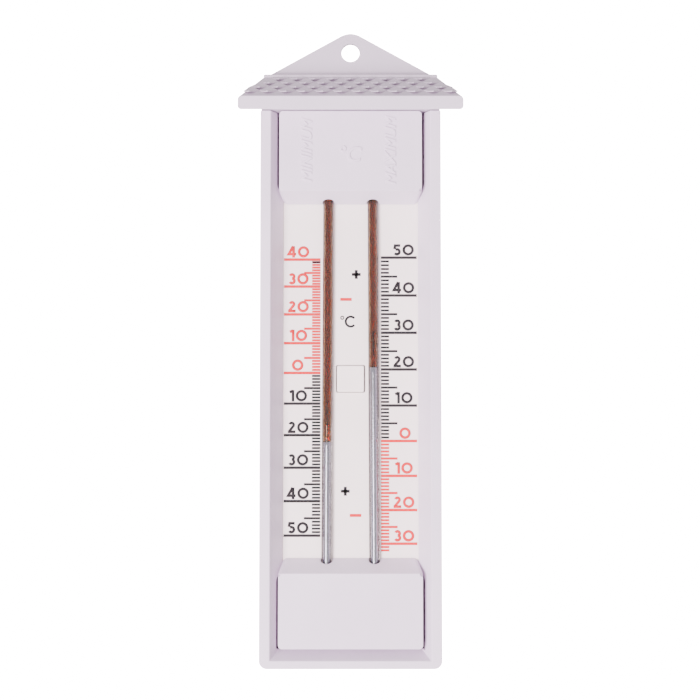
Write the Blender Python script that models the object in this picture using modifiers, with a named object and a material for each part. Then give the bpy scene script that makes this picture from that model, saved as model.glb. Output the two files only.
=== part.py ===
"""Maximum minimum thermometer: a U-tube garden thermometer in a moulded case with a tiled roof.

Frame: metres, +Z up. The origin is the centre of the hanging hole on the wall plane, the wall is
at Y = 0 and the scale faces -Y, so +X is to the reader's right. A leg is "left" at -X, where the
minimum is read, and "right" at +X, where the maximum is read.
"""

import math

import bmesh
import bpy
from mathutils import Matrix, Vector

MM = 0.001

# ---- clearances ----
GAP = 0.3 * MM  # between pieces that rest on each other
SLIP = 0.15 * MM  # between a screw or a peg and its hole
LIQUID_SLIP = 0.05 * MM  # between a liquid and the glass, and around an index
BULB_SLIP = 0.6 * MM  # between the spirit and the top of the full bulb
GLUE = 0.1 * MM  # between pieces that are glued or pressed together
BUTTON_CLEAR = 0.25 * MM
COVER_CLEAR = 0.6 * MM  # under the bottom cover

# ---- overall sizes ----
CASE_WIDTH = 64.8 * MM
CASE_HEIGHT = 198.3 * MM  # from the roof's underside to the bottom
CASE_DEPTH = 20.0 * MM  # from the wall to the front rim
EAVE_SIDE = 7.4 * MM  # how far the roof stands out past the case at each side
EAVE_FRONT = 12.0 * MM  # and in front of it

# ---- back plate and its hanging tab ----
BACK_THICK = 2.0 * MM
TAB_RADIUS = 7.15 * MM  # round top of the tab, around the hanging hole
TAB_SLOPE = math.radians(28.9)
HANG_RADIUS = 3.4 * MM

# ---- roof ----
RIDGE_Z = -8.6 * MM
RIDGE_INSET = 0.3 * MM  # the ridge ends this far inside the case's sides
RIDGE_FLAT = 5.0 * MM  # depth of the flat ridge
EAVE_Z = -22.3 * MM
FASCIA = 4.2 * MM  # height of the roof's edge
ROOF_WALL = 1.8 * MM

# ---- case ----
WALL = 1.8 * MM
RIM = 3.7 * MM  # flat front rim at the sides
BOTTOM_RIM = 2.8 * MM
CASE_CORNER = 2.8 * MM
CASE_EDGE = 0.9 * MM
RECESS = 8.7 * MM  # depth of the bezel
BEZEL_INSET = 8.0 * MM  # from the case's side to the edge of the scale that shows
BEZEL_WALL = 1.6 * MM
AIR_SLOT = 1.4 * MM  # slot beside each cover that lets air reach the glass

# ---- covers over the bulbs and the bend ----
COVER_INSET = 6.7 * MM  # from the case's side to a cover's side
COVER_BACK_STEP = 1.0 * MM  # the covers' faces lie this far behind the rim
COVER_WALL = 1.4 * MM
COVER_SIDE = 5.3 * MM  # how far a cover's sides reach behind the bezel's seat
COVER_EDGE = 0.9 * MM
TOP_COVER_FACE = 28.1 * MM  # height of the flat face
TOP_COVER_SLOPE = 3.8 * MM  # height of the slope between the face and the scale
BOTTOM_COVER_FACE = 26.6 * MM
BOTTOM_COVER_SLOPE = 4.8 * MM
BOTTOM_SILL = 6.8 * MM  # from the case's bottom to the bottom cover

# ---- scale plate ----
PLATE_THICK = 1.8 * MM
PLATE_LAP = 1.2 * MM  # how far the plate reaches behind the bezel
PLATE_NECK_STEP = 2.0 * MM  # narrower behind the covers, to leave the air slots open
PLATE_TUCK = 8.4 * MM  # how far the plate reaches under the top cover
PLATE_TUCK_BOTTOM = 9.9 * MM

# ---- glass ----
TUBE_RADIUS = 1.9 * MM
BORE_RADIUS = 0.7 * MM
TUBE_SINK = 0.8 * MM  # how deep the tube lies in the plate's grooves
LEG_HALF_TOP = 8.05 * MM  # half the distance between the legs at the top cover
LEG_HALF_BOTTOM = 8.62 * MM  # and at the bottom cover: the legs spread towards the bend
TUBE_TUCK = 8.8 * MM  # how far the legs reach under the top cover
BEND_TUCK = 16.4 * MM  # and under the bottom cover before they bend
BULB_RADIUS = 3.8 * MM
BULB_WALL = 0.6 * MM
BULB_NECK = 4.8 * MM  # from the foot to the straight side
BULB_LIP = 1.2 * MM
BULB_HEADROOM = 2.1 * MM  # between the taller bulb and the roof
EXPANSION_LENGTH = 12.6 * MM
EXPANSION_FILL = 0.45  # share of the expansion bulb that holds spirit

# ---- liquids and indices, measured down from the top cover ----
MERCURY_LEFT_DROP = 86.0 * MM
MERCURY_RIGHT_DROP = 59.1 * MM
MERCURY_TUCK = 9.4 * MM  # under the bottom cover the mercury fills the bend at any temperature
INDEX_RADIUS = 0.3 * MM  # of the beads at its ends
INDEX_WAIST = 0.24 * MM
INDEX_LENGTH = 8.8 * MM
INDEX_LEFT_DROP = 80.5 * MM  # to the lower end of the index
INDEX_RIGHT_DROP = 55.4 * MM
INDEX_TOP_DROP = 2.1 * MM  # to the highest place of an index's top end

# ---- reset button, magnet carrier and spring ----
BUTTON_WIDTH = 9.9 * MM
BUTTON_HEIGHT = 9.6 * MM
BUTTON_DROP = 63.6 * MM  # from the top cover to the button's middle
BUTTON_PROUD = 0.8 * MM
BUTTON_EDGE = 0.5 * MM
STEM_HALF = 3.2 * MM
PEG_HALF = 2.3 * MM
MAGNET_WIDTH = 5.0 * MM
MAGNET_THICK = 1.2 * MM
MAGNET_INSET = 11.6 * MM  # from the top cover to the strips' top ends
MAGNET_INSET_BOTTOM = 6.6 * MM
CARRIER_THICK = 1.4 * MM
CARRIER_MARGIN = 2.0 * MM
SPRING_RADIUS = 3.6 * MM
SPRING_WIRE = 0.25 * MM
SPRING_TURNS = 3
SPRING_STEPS = 42
HUB_LENGTH = 1.0 * MM

# ---- fasteners and posts ----
SCREW_RADIUS = 1.1 * MM
SCREW_HEAD = 2.1 * MM
SCREW_HEAD_DEPTH = 1.1 * MM
SCREW_SUNK = 0.1 * MM
SCREW_HEAD_EDGE = 0.2 * MM
SCREW_LENGTH = 8.0 * MM
SCREW_POINT = 1.65 * MM
BOSS_RADIUS = 2.4 * MM
CASE_SCREW_INSET = 3.9 * MM
CASE_SCREW_RISE = 8.0 * MM  # from each cover towards the middle
COVER_SCREW_INSET = 7.2 * MM
ROOF_SCREW_X = 20.0 * MM
ROOF_SCREW_DROP = 8.9 * MM  # below the ridge
POST_RADIUS = 2.0 * MM
GUIDE_POST_INSET = 12.0 * MM  # from each end of the magnets
PLATE_POST_INSET = 3.9 * MM

# ---- tube clips ----
CLIP_REACH = 2.2 * MM  # how far a clip reaches past the tubes
CLIP_HEIGHT = 2.4 * MM
CLIP_THICK = 1.2 * MM  # plastic in front of the tube
CLIP_PEG = 0.9 * MM
CLIP_TUCK = 6.8 * MM  # how far a clip sits under its cover
SMALL_EDGE = 0.4 * MM  # chamfer on the small moulded pieces

# ---- widths, worked out from the sizes above ----
CASE_HALF = CASE_WIDTH / 2
RIM_HALF = CASE_HALF - RIM
WINDOW_HALF = CASE_HALF - BEZEL_INSET
COVER_HALF = CASE_HALF - COVER_INSET
POCKET_HALF = COVER_HALF + AIR_SLOT
PLATE_HALF = WINDOW_HALF + PLATE_LAP
PLATE_NECK_HALF = PLATE_HALF - PLATE_NECK_STEP
ROOF_WIDTH = CASE_WIDTH + 2 * EAVE_SIDE
RIDGE_HALF = CASE_HALF - RIDGE_INSET
CASE_SCREW_X = CASE_HALF - CASE_SCREW_INSET
COVER_SCREW_X = COVER_HALF - COVER_SCREW_INSET
PLATE_POST_X = WINDOW_HALF - PLATE_POST_INSET
CLIP_HALF = LEG_HALF_BOTTOM + TUBE_RADIUS + CLIP_REACH
CARRIER_HALF = LEG_HALF_BOTTOM + MAGNET_WIDTH / 2 + CARRIER_MARGIN

# ---- heights ----
SOFFIT = EAVE_Z - FASCIA  # underside of the roof, where the case begins
CASE_TOP = SOFFIT - GAP
CASE_BOTTOM = SOFFIT - CASE_HEIGHT
TOP_FACE_END = SOFFIT - TOP_COVER_FACE
TOP_SLOPE_END = TOP_FACE_END - TOP_COVER_SLOPE
BOTTOM_COVER_END = CASE_BOTTOM + BOTTOM_SILL
BOTTOM_FACE_END = BOTTOM_COVER_END + BOTTOM_COVER_FACE
BOTTOM_SLOPE_END = BOTTOM_FACE_END + BOTTOM_COVER_SLOPE
PLATE_TOP = TOP_SLOPE_END + PLATE_TUCK
PLATE_BOTTOM = BOTTOM_SLOPE_END - PLATE_TUCK_BOTTOM
TUBE_TOP = TOP_SLOPE_END + TUBE_TUCK
BEND_START = BOTTOM_SLOPE_END - BEND_TUCK
BULB_FOOT = TUBE_TOP + GAP
BULB_TOP = SOFFIT - BULB_HEADROOM
MERCURY_LEFT = TOP_SLOPE_END - MERCURY_LEFT_DROP
MERCURY_RIGHT = TOP_SLOPE_END - MERCURY_RIGHT_DROP
MERCURY_SPLIT = BOTTOM_SLOPE_END - MERCURY_TUCK
INDEX_LEFT_FOOT = TOP_SLOPE_END - INDEX_LEFT_DROP
INDEX_RIGHT_FOOT = TOP_SLOPE_END - INDEX_RIGHT_DROP
INDEX_TOP = TOP_SLOPE_END - INDEX_TOP_DROP
BUTTON_Z = TOP_SLOPE_END - BUTTON_DROP
MAGNET_TOP = TOP_SLOPE_END - MAGNET_INSET
MAGNET_BOTTOM = BOTTOM_SLOPE_END + MAGNET_INSET_BOTTOM
GUIDE_POST_Z = (MAGNET_TOP - GUIDE_POST_INSET, MAGNET_BOTTOM + GUIDE_POST_INSET)
PLATE_POST_Z = (TOP_SLOPE_END - PLATE_POST_INSET, BOTTOM_SLOPE_END + PLATE_POST_INSET)
CASE_SCREW_Z = (TOP_SLOPE_END - CASE_SCREW_RISE, BOTTOM_SLOPE_END + CASE_SCREW_RISE)
TOP_COVER_SCREW_Z = (SOFFIT + TOP_FACE_END) / 2
BOTTOM_COVER_SCREW_Z = (BOTTOM_FACE_END + BOTTOM_COVER_END) / 2
ROOF_SCREW_Z = RIDGE_Z - ROOF_SCREW_DROP
UPPER_CLIP_Z = TOP_SLOPE_END + CLIP_TUCK
LOWER_CLIP_Z = BOTTOM_SLOPE_END - CLIP_TUCK

# ---- depths: the wall is at 0 and the front is negative ----
BACK_FRONT = -BACK_THICK
CASE_REAR = BACK_FRONT - GAP
SEAT = RECESS - CASE_DEPTH  # the bezel's rear face, in front of the scale plate
COVER_FRONT = COVER_BACK_STEP - CASE_DEPTH
COVER_SIDE_BACK = SEAT + COVER_SIDE
PLATE_FRONT = SEAT + GAP
PLATE_REAR = PLATE_FRONT + PLATE_THICK
TUBE_Y = PLATE_FRONT + TUBE_SINK - TUBE_RADIUS
MAGNET_FRONT = PLATE_REAR + GAP
MAGNET_REAR = MAGNET_FRONT + MAGNET_THICK
CARRIER_FRONT = MAGNET_REAR + GLUE
CARRIER_REAR = CARRIER_FRONT + CARRIER_THICK
ROOF_DEPTH = CASE_DEPTH + EAVE_FRONT

# ---- others ----
BEZEL_RUN = (RIM_HALF - WINDOW_HALF) / RECESS  # sideways per unit of depth
LEG_SPREAD = (LEG_HALF_BOTTOM - LEG_HALF_TOP) / (TOP_SLOPE_END - BOTTOM_SLOPE_END)
LIQUID_RADIUS = BORE_RADIUS - LIQUID_SLIP
CHANNEL_RADIUS = INDEX_RADIUS + 2 * LIQUID_SLIP
REACH = 3 * MM  # how far a cutter runs past the surface that it cuts
OVERLAP = 0.1 * MM  # how far joined shapes run into each other

SIDES = {"left": -1, "right": 1}

parts = bpy.data.collections.new("maximum_minimum_thermometer")
cutters = bpy.data.collections.new("cutters")


# ---------------------------------------------------------------- helpers


def clear_scene():
    for old in list(bpy.data.objects):
        bpy.data.objects.remove(old, do_unlink=True)
    for collection in (parts, cutters):
        bpy.context.scene.collection.children.link(collection)


def keep(obj, name, material=None):
    """Names an object and puts it among the parts, or among the cutters when it has no material."""
    obj.name = obj.data.name = name
    for old in list(obj.users_collection):
        old.objects.unlink(obj)
    (parts if material else cutters).objects.link(obj)
    if material:
        obj.data.materials.append(material)
    else:
        obj.hide_render = True
        obj.display_type = "WIRE"
    return obj


def finish(name, colour, roughness, metallic=0.0):
    material = bpy.data.materials.new(name)
    material.use_nodes = True
    shader = material.node_tree.nodes["Principled BSDF"]
    shader.inputs["Base Color"].default_value = (*colour, 1.0)
    shader.inputs["Roughness"].default_value = roughness
    shader.inputs["Metallic"].default_value = metallic
    return material


def box(name, low, high, material=None):
    """A cube primitive between two corners, with its origin in its middle."""
    low, high = Vector(low), Vector(high)
    bpy.ops.mesh.primitive_cube_add(size=1, location=(low + high) / 2)
    obj = bpy.context.object
    obj.data.transform(Matrix.Diagonal((*(high - low), 1)))
    return keep(obj, name, material)


def outlined(name, outline, normal, low, high, material=None):
    """A flat outline extruded along the axis "X", "Y" or "Z" from low to high.

    The outline's points are (Y, Z) for X, (X, Z) for Y and (X, Y) for Z.
    """
    curve = bpy.data.curves.new(name, "CURVE")
    curve.dimensions = "2D"
    curve.fill_mode = "BOTH"
    curve.extrude = (high - low) / 2
    spline = curve.splines.new("POLY")
    spline.points.add(len(outline) - 1)
    for point, (u, v) in zip(spline.points, outline):
        point.co = (u, v, 0, 1)
    spline.use_cyclic_u = True
    flat = bpy.data.objects.new(name, curve)
    turns = {
        "X": Matrix(((0, 0, 1), (1, 0, 0), (0, 1, 0))),
        "Y": Matrix(((1, 0, 0), (0, 0, -1), (0, 1, 0))),
        "Z": Matrix.Identity(3),
    }
    middle = Vector([(low + high) / 2 if axis == normal else 0 for axis in "XYZ"])
    flat.matrix_world = Matrix.Translation(middle) @ turns[normal].to_4x4()
    return meshed(flat, name, material)


def meshed(curve_object, name, material=None):
    """A curve object made a welded mesh that can be cut and joined."""
    bpy.context.scene.collection.objects.link(curve_object)
    bpy.context.view_layer.update()
    evaluated = curve_object.evaluated_get(bpy.context.evaluated_depsgraph_get())
    mesh = bpy.data.meshes.new_from_object(evaluated)
    obj = bpy.data.objects.new(name, mesh)
    world = curve_object.matrix_world.copy()
    bpy.data.objects.remove(curve_object, do_unlink=True)
    shape = bmesh.new()
    shape.from_mesh(mesh)
    bmesh.ops.remove_doubles(shape, verts=shape.verts, dist=1e-6)
    bmesh.ops.recalc_face_normals(shape, faces=shape.faces)
    shape.to_mesh(mesh)
    shape.free()
    bpy.context.scene.collection.objects.link(obj)
    obj.matrix_world = world
    return keep(obj, name, material)


def turned(name, profile, place, sides=16, material=None):
    """A turned shape: (radius, height) points from top to bottom of the outside, turned about Z.

    place is the matrix that puts the profile's own frame into the model.
    """
    mesh = bpy.data.meshes.new(name)
    points = [(radius, 0, height) for radius, height in profile]
    closed = profile[0][0] > 0 or profile[-1][0] > 0
    edges = [(i, i + 1) for i in range(len(points) - 1)]
    if closed:
        edges.append((len(points) - 1, 0))
    mesh.from_pydata(points, edges, [])
    obj = bpy.data.objects.new(name, mesh)
    bpy.context.scene.collection.objects.link(obj)
    obj.matrix_world = place
    screw = obj.modifiers.new("turn", "SCREW")
    screw.steps = screw.render_steps = sides
    screw.use_merge_vertices = True
    screw.merge_threshold = 1e-6
    screw.use_smooth_shade = False
    return keep(obj, name, material)


def rod(name, radius, start, end, sides=16, material=None):
    """A round bar between two points."""
    start, end = Vector(start), Vector(end)
    span = end - start
    place = Matrix.Translation(start) @ span.to_track_quat("Z", "Y").to_matrix().to_4x4()
    profile = [(0, span.length), (radius, span.length), (radius, 0), (0, 0)]
    return turned(name, profile, place, sides, material)


def boolean(target, operation, tools):
    for tool in tools:
        modifier = target.modifiers.new(tool.name, "BOOLEAN")
        modifier.operation = operation
        modifier.solver = "EXACT"
        modifier.object = tool


def cut(target, *tools):
    boolean(target, "DIFFERENCE", tools)


def join(target, *tools):
    boolean(target, "UNION", tools)


def common(target, *tools):
    """Keeps what target shares with the tools."""
    boolean(target, "INTERSECT", tools)


def bevel(obj, width, segments=2, angle=math.radians(50)):
    modifier = obj.modifiers.new("edges", "BEVEL")
    modifier.width = width
    modifier.segments = segments
    modifier.limit_method = "ANGLE"
    modifier.angle_limit = angle



def round_front(obj, width, segments=2):
    """Rounds the edges around a piece's front face."""
    shape = bmesh.new()
    shape.from_mesh(obj.data)
    depth = {vert: (obj.matrix_world @ vert.co).y for vert in shape.verts}
    front = min(depth.values()) + GAP / 10
    rim = [
        e
        for e in shape.edges
        if all(depth[v] < front for v in e.verts)
        and any(depth[v] > front for f in e.link_faces for v in f.verts)
    ]
    bmesh.ops.bevel(
        shape, geom=rim, offset=width, segments=segments, profile=0.5, affect="EDGES"
    )
    shape.to_mesh(obj.data)
    shape.free()


def leg_x(side, z):
    """X of a leg's centreline at height z."""
    return SIDES[side] * (LEG_HALF_TOP + (TOP_SLOPE_END - z) * LEG_SPREAD)


def leg_point(side, z):
    return Vector((leg_x(side, z), TUBE_Y, z))


def leg_place(side):
    """The frame of a leg: its own Z runs along the centreline, and heights stay the model's."""
    foot = leg_point(side, 0)
    along = (leg_point(side, 1) - foot).normalized()
    return Matrix.Translation(foot) @ along.to_track_quat("Z", "Y").to_matrix().to_4x4()


def arc(centre, radius, start, end, steps):
    """Points on a circle, from angle start to angle end in degrees."""
    angles = [math.radians(start + (end - start) * i / steps) for i in range(steps + 1)]
    return [(centre[0] + radius * math.cos(a), centre[1] + radius * math.sin(a)) for a in angles]


# ---------------------------------------------------------------- fasteners


def screw_places():
    """Every screw's name, X and Z. They all go in from the wall side."""
    places = []
    for side, sign in SIDES.items():
        for level, z in zip(("upper", "lower"), CASE_SCREW_Z):
            places.append((f"case_screw_{level}_{side}", sign * CASE_SCREW_X, z))
        places.append((f"roof_screw_{side}", sign * ROOF_SCREW_X, ROOF_SCREW_Z))
        places.append((f"top_cover_screw_{side}", sign * COVER_SCREW_X, TOP_COVER_SCREW_Z))
        places.append((f"bottom_cover_screw_{side}", sign * COVER_SCREW_X, BOTTOM_COVER_SCREW_Z))
    return places


def facing_wall(x, z):
    """A frame on the wall plane whose own Z points at the wall, so a profile's depths are negative."""
    return Matrix.Translation((x, 0, z)) @ Matrix.Rotation(math.radians(-90), 4, "X")


def make_screws(steel):
    """Countersunk self-tapping screws, flush with the plate's rear face."""
    profile = [
        (0, -SCREW_SUNK),
        (SCREW_HEAD, -SCREW_SUNK),
        (SCREW_HEAD, -SCREW_SUNK - SCREW_HEAD_EDGE),
        (SCREW_RADIUS, -SCREW_SUNK - SCREW_HEAD_EDGE - SCREW_HEAD_DEPTH),
        (SCREW_RADIUS, SCREW_POINT - SCREW_LENGTH),
        (0, -SCREW_LENGTH),
    ]
    for name, x, z in screw_places():
        turned(name, profile, facing_wall(x, z), 12, steel)


def screw_hole(name, x, z):
    """Cutter for a countersunk hole through the back plate."""
    profile = [
        (0, REACH),
        (SCREW_HEAD + SLIP, REACH),
        (SCREW_HEAD + SLIP, -SCREW_SUNK - SCREW_HEAD_EDGE - SLIP),
        (SCREW_RADIUS + SLIP, -SCREW_SUNK - SCREW_HEAD_EDGE - SCREW_HEAD_DEPTH - SLIP),
        (SCREW_RADIUS + SLIP, -BACK_THICK - REACH),
        (0, -BACK_THICK - REACH),
    ]
    return turned(f"{name}_hole", profile, facing_wall(x, z), 12)


def boss(name, x, z, front):
    """A post from the back plate's face to front, and the pilot hole in it."""
    post = rod(f"{name}_boss", BOSS_RADIUS, (x, CASE_REAR, z), (x, front, z), 16)
    pilot_end = min(-SCREW_LENGTH - 2 * SLIP, CASE_REAR)
    pilot = rod(
        f"{name}_pilot", SCREW_RADIUS + SLIP, (x, CASE_REAR + REACH, z), (x, pilot_end, z), 12
    )
    return post, pilot


# ---------------------------------------------------------------- casing


def rounded_bottom():
    """The bottom edge and its two round corners, from left to right, in X and Z."""
    centre_x, centre_z = CASE_HALF - CASE_CORNER, CASE_BOTTOM + CASE_CORNER
    return [
        *arc((-centre_x, centre_z), CASE_CORNER, 180, 270, 4),
        *arc((centre_x, centre_z), CASE_CORNER, 270, 360, 4),
    ]


def back_outline():
    """The plate's outline with its pointed hanging tab, in X and Z."""
    tangent = 90 - math.degrees(TAB_SLOPE)
    round_top = arc((0, 0), TAB_RADIUS, tangent, 180 - tangent, 10)
    touch_x, touch_z = round_top[0]
    shoulder = touch_z - (CASE_HALF - touch_x) * math.tan(TAB_SLOPE)
    return [*round_top, (-CASE_HALF, shoulder), *rounded_bottom(), (CASE_HALF, shoulder)]


def make_back_plate(shell):
    plate = outlined("back_plate", back_outline(), "Y", -BACK_THICK, 0, shell)
    for z in GUIDE_POST_Z:
        end = PLATE_REAR + GAP
        join(plate, rod("guide_post", POST_RADIUS, (0, -BACK_THICK / 2, z), (0, end, z), 16))
    for sign in SIDES.values():
        for z in PLATE_POST_Z:
            x, end = sign * PLATE_POST_X, PLATE_REAR + GAP
            join(plate, rod("plate_post", POST_RADIUS, (x, -BACK_THICK / 2, z), (x, end, z), 12))
    hub_radius = SPRING_RADIUS - 2 * SPRING_WIRE - GAP
    start, end = (0, -BACK_THICK / 2, BUTTON_Z), (0, BACK_FRONT - HUB_LENGTH, BUTTON_Z)
    join(plate, rod("spring_hub", hub_radius, start, end, 16))
    cut(plate, rod("hang_hole", HANG_RADIUS, (0, REACH, 0), (0, -BACK_THICK - REACH, 0), 24))
    for name, x, z in screw_places():
        cut(plate, screw_hole(name, x, z))


def case_outline():
    """The case seen from the front: square at the top, rounded at the bottom."""
    return [(-CASE_HALF, CASE_TOP), *rounded_bottom(), (CASE_HALF, CASE_TOP)]


def bezel_half(y):
    """Half the distance between the case's sloping inner faces at depth y."""
    return WINDOW_HALF + (SEAT - y) * BEZEL_RUN


def front_recess():
    """Cutter with the bezel's slopes: wide at the front, as narrow as the window at the seat."""
    front, rear = -CASE_DEPTH - REACH, SEAT + REACH
    plan = [
        (-bezel_half(front), front),
        (bezel_half(front), front),
        (bezel_half(rear), rear),
        (-bezel_half(rear), rear),
    ]
    sides = outlined("recess", plan, "Z", CASE_BOTTOM - REACH, CASE_TOP + REACH)
    rim_z = CASE_BOTTOM + BOTTOM_RIM

    def sill(y):
        return rim_z + (y + CASE_DEPTH) * BEZEL_RUN

    top = CASE_TOP + 2 * REACH
    side_view = [(front, sill(front)), (rear, sill(rear)), (rear, top), (front, top)]
    ends = outlined("recess_ends", side_view, "X", -CASE_HALF, CASE_HALF)
    common(sides, ends)
    return sides


def make_case(shell):
    case = outlined("case_front", case_outline(), "Y", -CASE_DEPTH, CASE_REAR, shell)
    round_front(case, CASE_EDGE)
    inner = CASE_HALF - WALL
    cavity = box(
        "rear_cavity",
        (-inner, SEAT, CASE_BOTTOM + WALL),
        (inner, REACH, CASE_TOP + REACH),
    )
    cut(case, front_recess(), cavity)
    pockets = (
        ("top_pocket", TOP_FACE_END - GAP, CASE_TOP + REACH),
        ("bottom_pocket", BOTTOM_COVER_END - COVER_CLEAR, BOTTOM_FACE_END + GAP),
    )
    for name, bottom, top in pockets:
        low, high = (-POCKET_HALF, -CASE_DEPTH - REACH, bottom), (POCKET_HALF, SEAT + REACH, top)
        cut(case, box(name, low, high))
    core_front = WALL - CASE_DEPTH
    core_rear = SEAT + REACH
    for side, sign in SIDES.items():
        core = [
            (sign * inner, core_rear),
            (sign * inner, core_front),
            (sign * (bezel_half(core_front) + BEZEL_WALL), core_front),
            (sign * (bezel_half(core_rear) + BEZEL_WALL), core_rear),
        ]
        core_top, core_bottom = TOP_SLOPE_END - WALL, BOTTOM_SLOPE_END + WALL
        cut(case, outlined(f"core_{side}", core, "Z", core_bottom, core_top))
    for name, x, z in screw_places():
        if name.startswith("case"):
            post, pilot = boss(name, x, z, SEAT - WALL / 2)
            join(case, post)
            cut(case, pilot)


def roof_surface(y):
    """Height of the roof's upper surface at depth y."""
    if y > -RIDGE_FLAT:
        return RIDGE_Z
    return RIDGE_Z + (EAVE_Z - RIDGE_Z) * (-y - RIDGE_FLAT) / (ROOF_DEPTH - RIDGE_FLAT)


def roof_plan(name, inset, low, high):
    """The roof seen from above, which is wider at the eave, as an upright prism."""
    slope = (ROOF_WIDTH / 2 - RIDGE_HALF) / (ROOF_DEPTH - RIDGE_FLAT)
    front = inset - ROOF_DEPTH
    rear = CASE_REAR if inset == 0 else REACH

    def half(y):
        return RIDGE_HALF - inset + max(-y - RIDGE_FLAT, 0) * slope

    plan = [(half(rear), rear), (half(-RIDGE_FLAT), -RIDGE_FLAT), (half(front), front)]
    plan += [(-x, y) for x, y in reversed(plan)]
    return outlined(name, plan, "Z", low, high)


def make_roof(shell):
    """Roof moulding: a sloping slab with a lip all round, and a box under it that closes the case."""
    rear = CASE_REAR
    top = [(rear, RIDGE_Z), (-RIDGE_FLAT, RIDGE_Z), (-ROOF_DEPTH, EAVE_Z)]
    lip = [(y, z - FASCIA) for y, z in reversed(top)]
    slab = outlined("roof", top + lip, "X", -ROOF_WIDTH, ROOF_WIDTH, shell)
    common(slab, roof_plan("roof_plan", 0, SOFFIT - REACH, REACH))

    def under(rear_y, front_y, thick, floor):
        """Side view of the space from thick under the surface down to floor."""
        return [
            (rear_y, RIDGE_Z - thick),
            (-RIDGE_FLAT, RIDGE_Z - thick),
            (front_y, roof_surface(front_y) - thick),
            (front_y, floor),
            (rear_y, floor),
        ]

    lip_back = ROOF_WALL - ROOF_DEPTH
    space = under(REACH, lip_back, ROOF_WALL, SOFFIT - REACH)
    hollow = outlined("roof_hollow", space, "X", -ROOF_WIDTH, ROOF_WIDTH)
    common(hollow, roof_plan("hollow_plan", ROOF_WALL, SOFFIT - 2 * REACH, REACH))
    cut(slab, hollow)
    floor = SOFFIT + OVERLAP
    half = RIDGE_HALF - 2 * OVERLAP
    block = under(rear, lip_back - OVERLAP, ROOF_WALL / 2, floor)
    join(slab, outlined("roof_box", block, "X", -half, half))
    room = under(REACH, lip_back, ROOF_WALL, floor + ROOF_WALL)
    cut(slab, outlined("roof_room", room, "X", ROOF_WALL - half, half - ROOF_WALL))
    for side, sign in SIDES.items():
        x = sign * ROOF_SCREW_X
        # The boss ends inside the sloping slab.
        fall = (RIDGE_Z - ROOF_SCREW_Z - BOSS_RADIUS - ROOF_WALL / 2) / (RIDGE_Z - EAVE_Z)
        end = -RIDGE_FLAT - fall * (ROOF_DEPTH - RIDGE_FLAT)
        post, pilot = boss(f"roof_{side}", x, ROOF_SCREW_Z, end)
        join(slab, post)
        cut(slab, pilot)


def cover_profile(far, face_end, slope_end, inset=0.0):
    """A cover's side view in Y and Z: flat front, then the slope down to the scale."""
    step = math.copysign(inset, far - face_end)
    front = COVER_FRONT + inset
    rear = COVER_SIDE_BACK + (REACH if inset else 0)
    return [
        (rear, far - step),
        (front, far - step),
        (front, face_end + step),
        (SEAT, slope_end + step),
        (rear, slope_end + step),
    ]


def make_cover(name, far, face_end, slope_end, screw_z, shell):
    """A shell that clips over the bulbs or the bend, with a sloping end that the tubes come out of."""
    up = math.copysign(1, far - face_end)
    outside = cover_profile(far, face_end, slope_end)
    cover = outlined(name, outside, "X", -COVER_HALF, COVER_HALF, shell)
    bevel(cover, COVER_EDGE)
    inside = cover_profile(far, face_end, slope_end, COVER_WALL)
    half = COVER_HALF - COVER_WALL
    cut(cover, outlined(f"{name}_inside", inside, "X", -half, half))
    # Behind the seat the sloping end stops, where the scale plate begins.
    toe = sorted((slope_end - up * REACH, face_end + up * COVER_WALL))
    low = (-COVER_HALF - REACH, SEAT, toe[0])
    high = (COVER_HALF + REACH, REACH, toe[1])
    cut(cover, box(f"{name}_toe", low, high))
    # The sloping end narrows with the case's bezel.
    for side, sign in SIDES.items():
        wedge = [
            (sign * (bezel_half(SEAT) - GAP), SEAT + REACH),
            (sign * (bezel_half(SEAT) - GAP), SEAT),
            (sign * (bezel_half(-CASE_DEPTH) - GAP), -CASE_DEPTH),
            (sign * CASE_WIDTH, -CASE_DEPTH),
            (sign * CASE_WIDTH, SEAT + REACH),
        ]
        band = sorted((slope_end - up * REACH, face_end - up * OVERLAP))
        cut(cover, outlined(f"{name}_wedge_{side}", wedge, "Z", *band))
        start, end = leg_point(side, slope_end - up * REACH), leg_point(side, face_end + up * REACH)
        cut(cover, rod(f"{name}_tube_hole_{side}", TUBE_RADIUS + GAP, start, end, 20))
        x = sign * COVER_SCREW_X
        post, pilot = boss(f"{name}_{side}", x, screw_z, COVER_FRONT + COVER_WALL / 2)
        join(cover, post)
        cut(cover, pilot)


# ---------------------------------------------------------------- scale plate and clips


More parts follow.
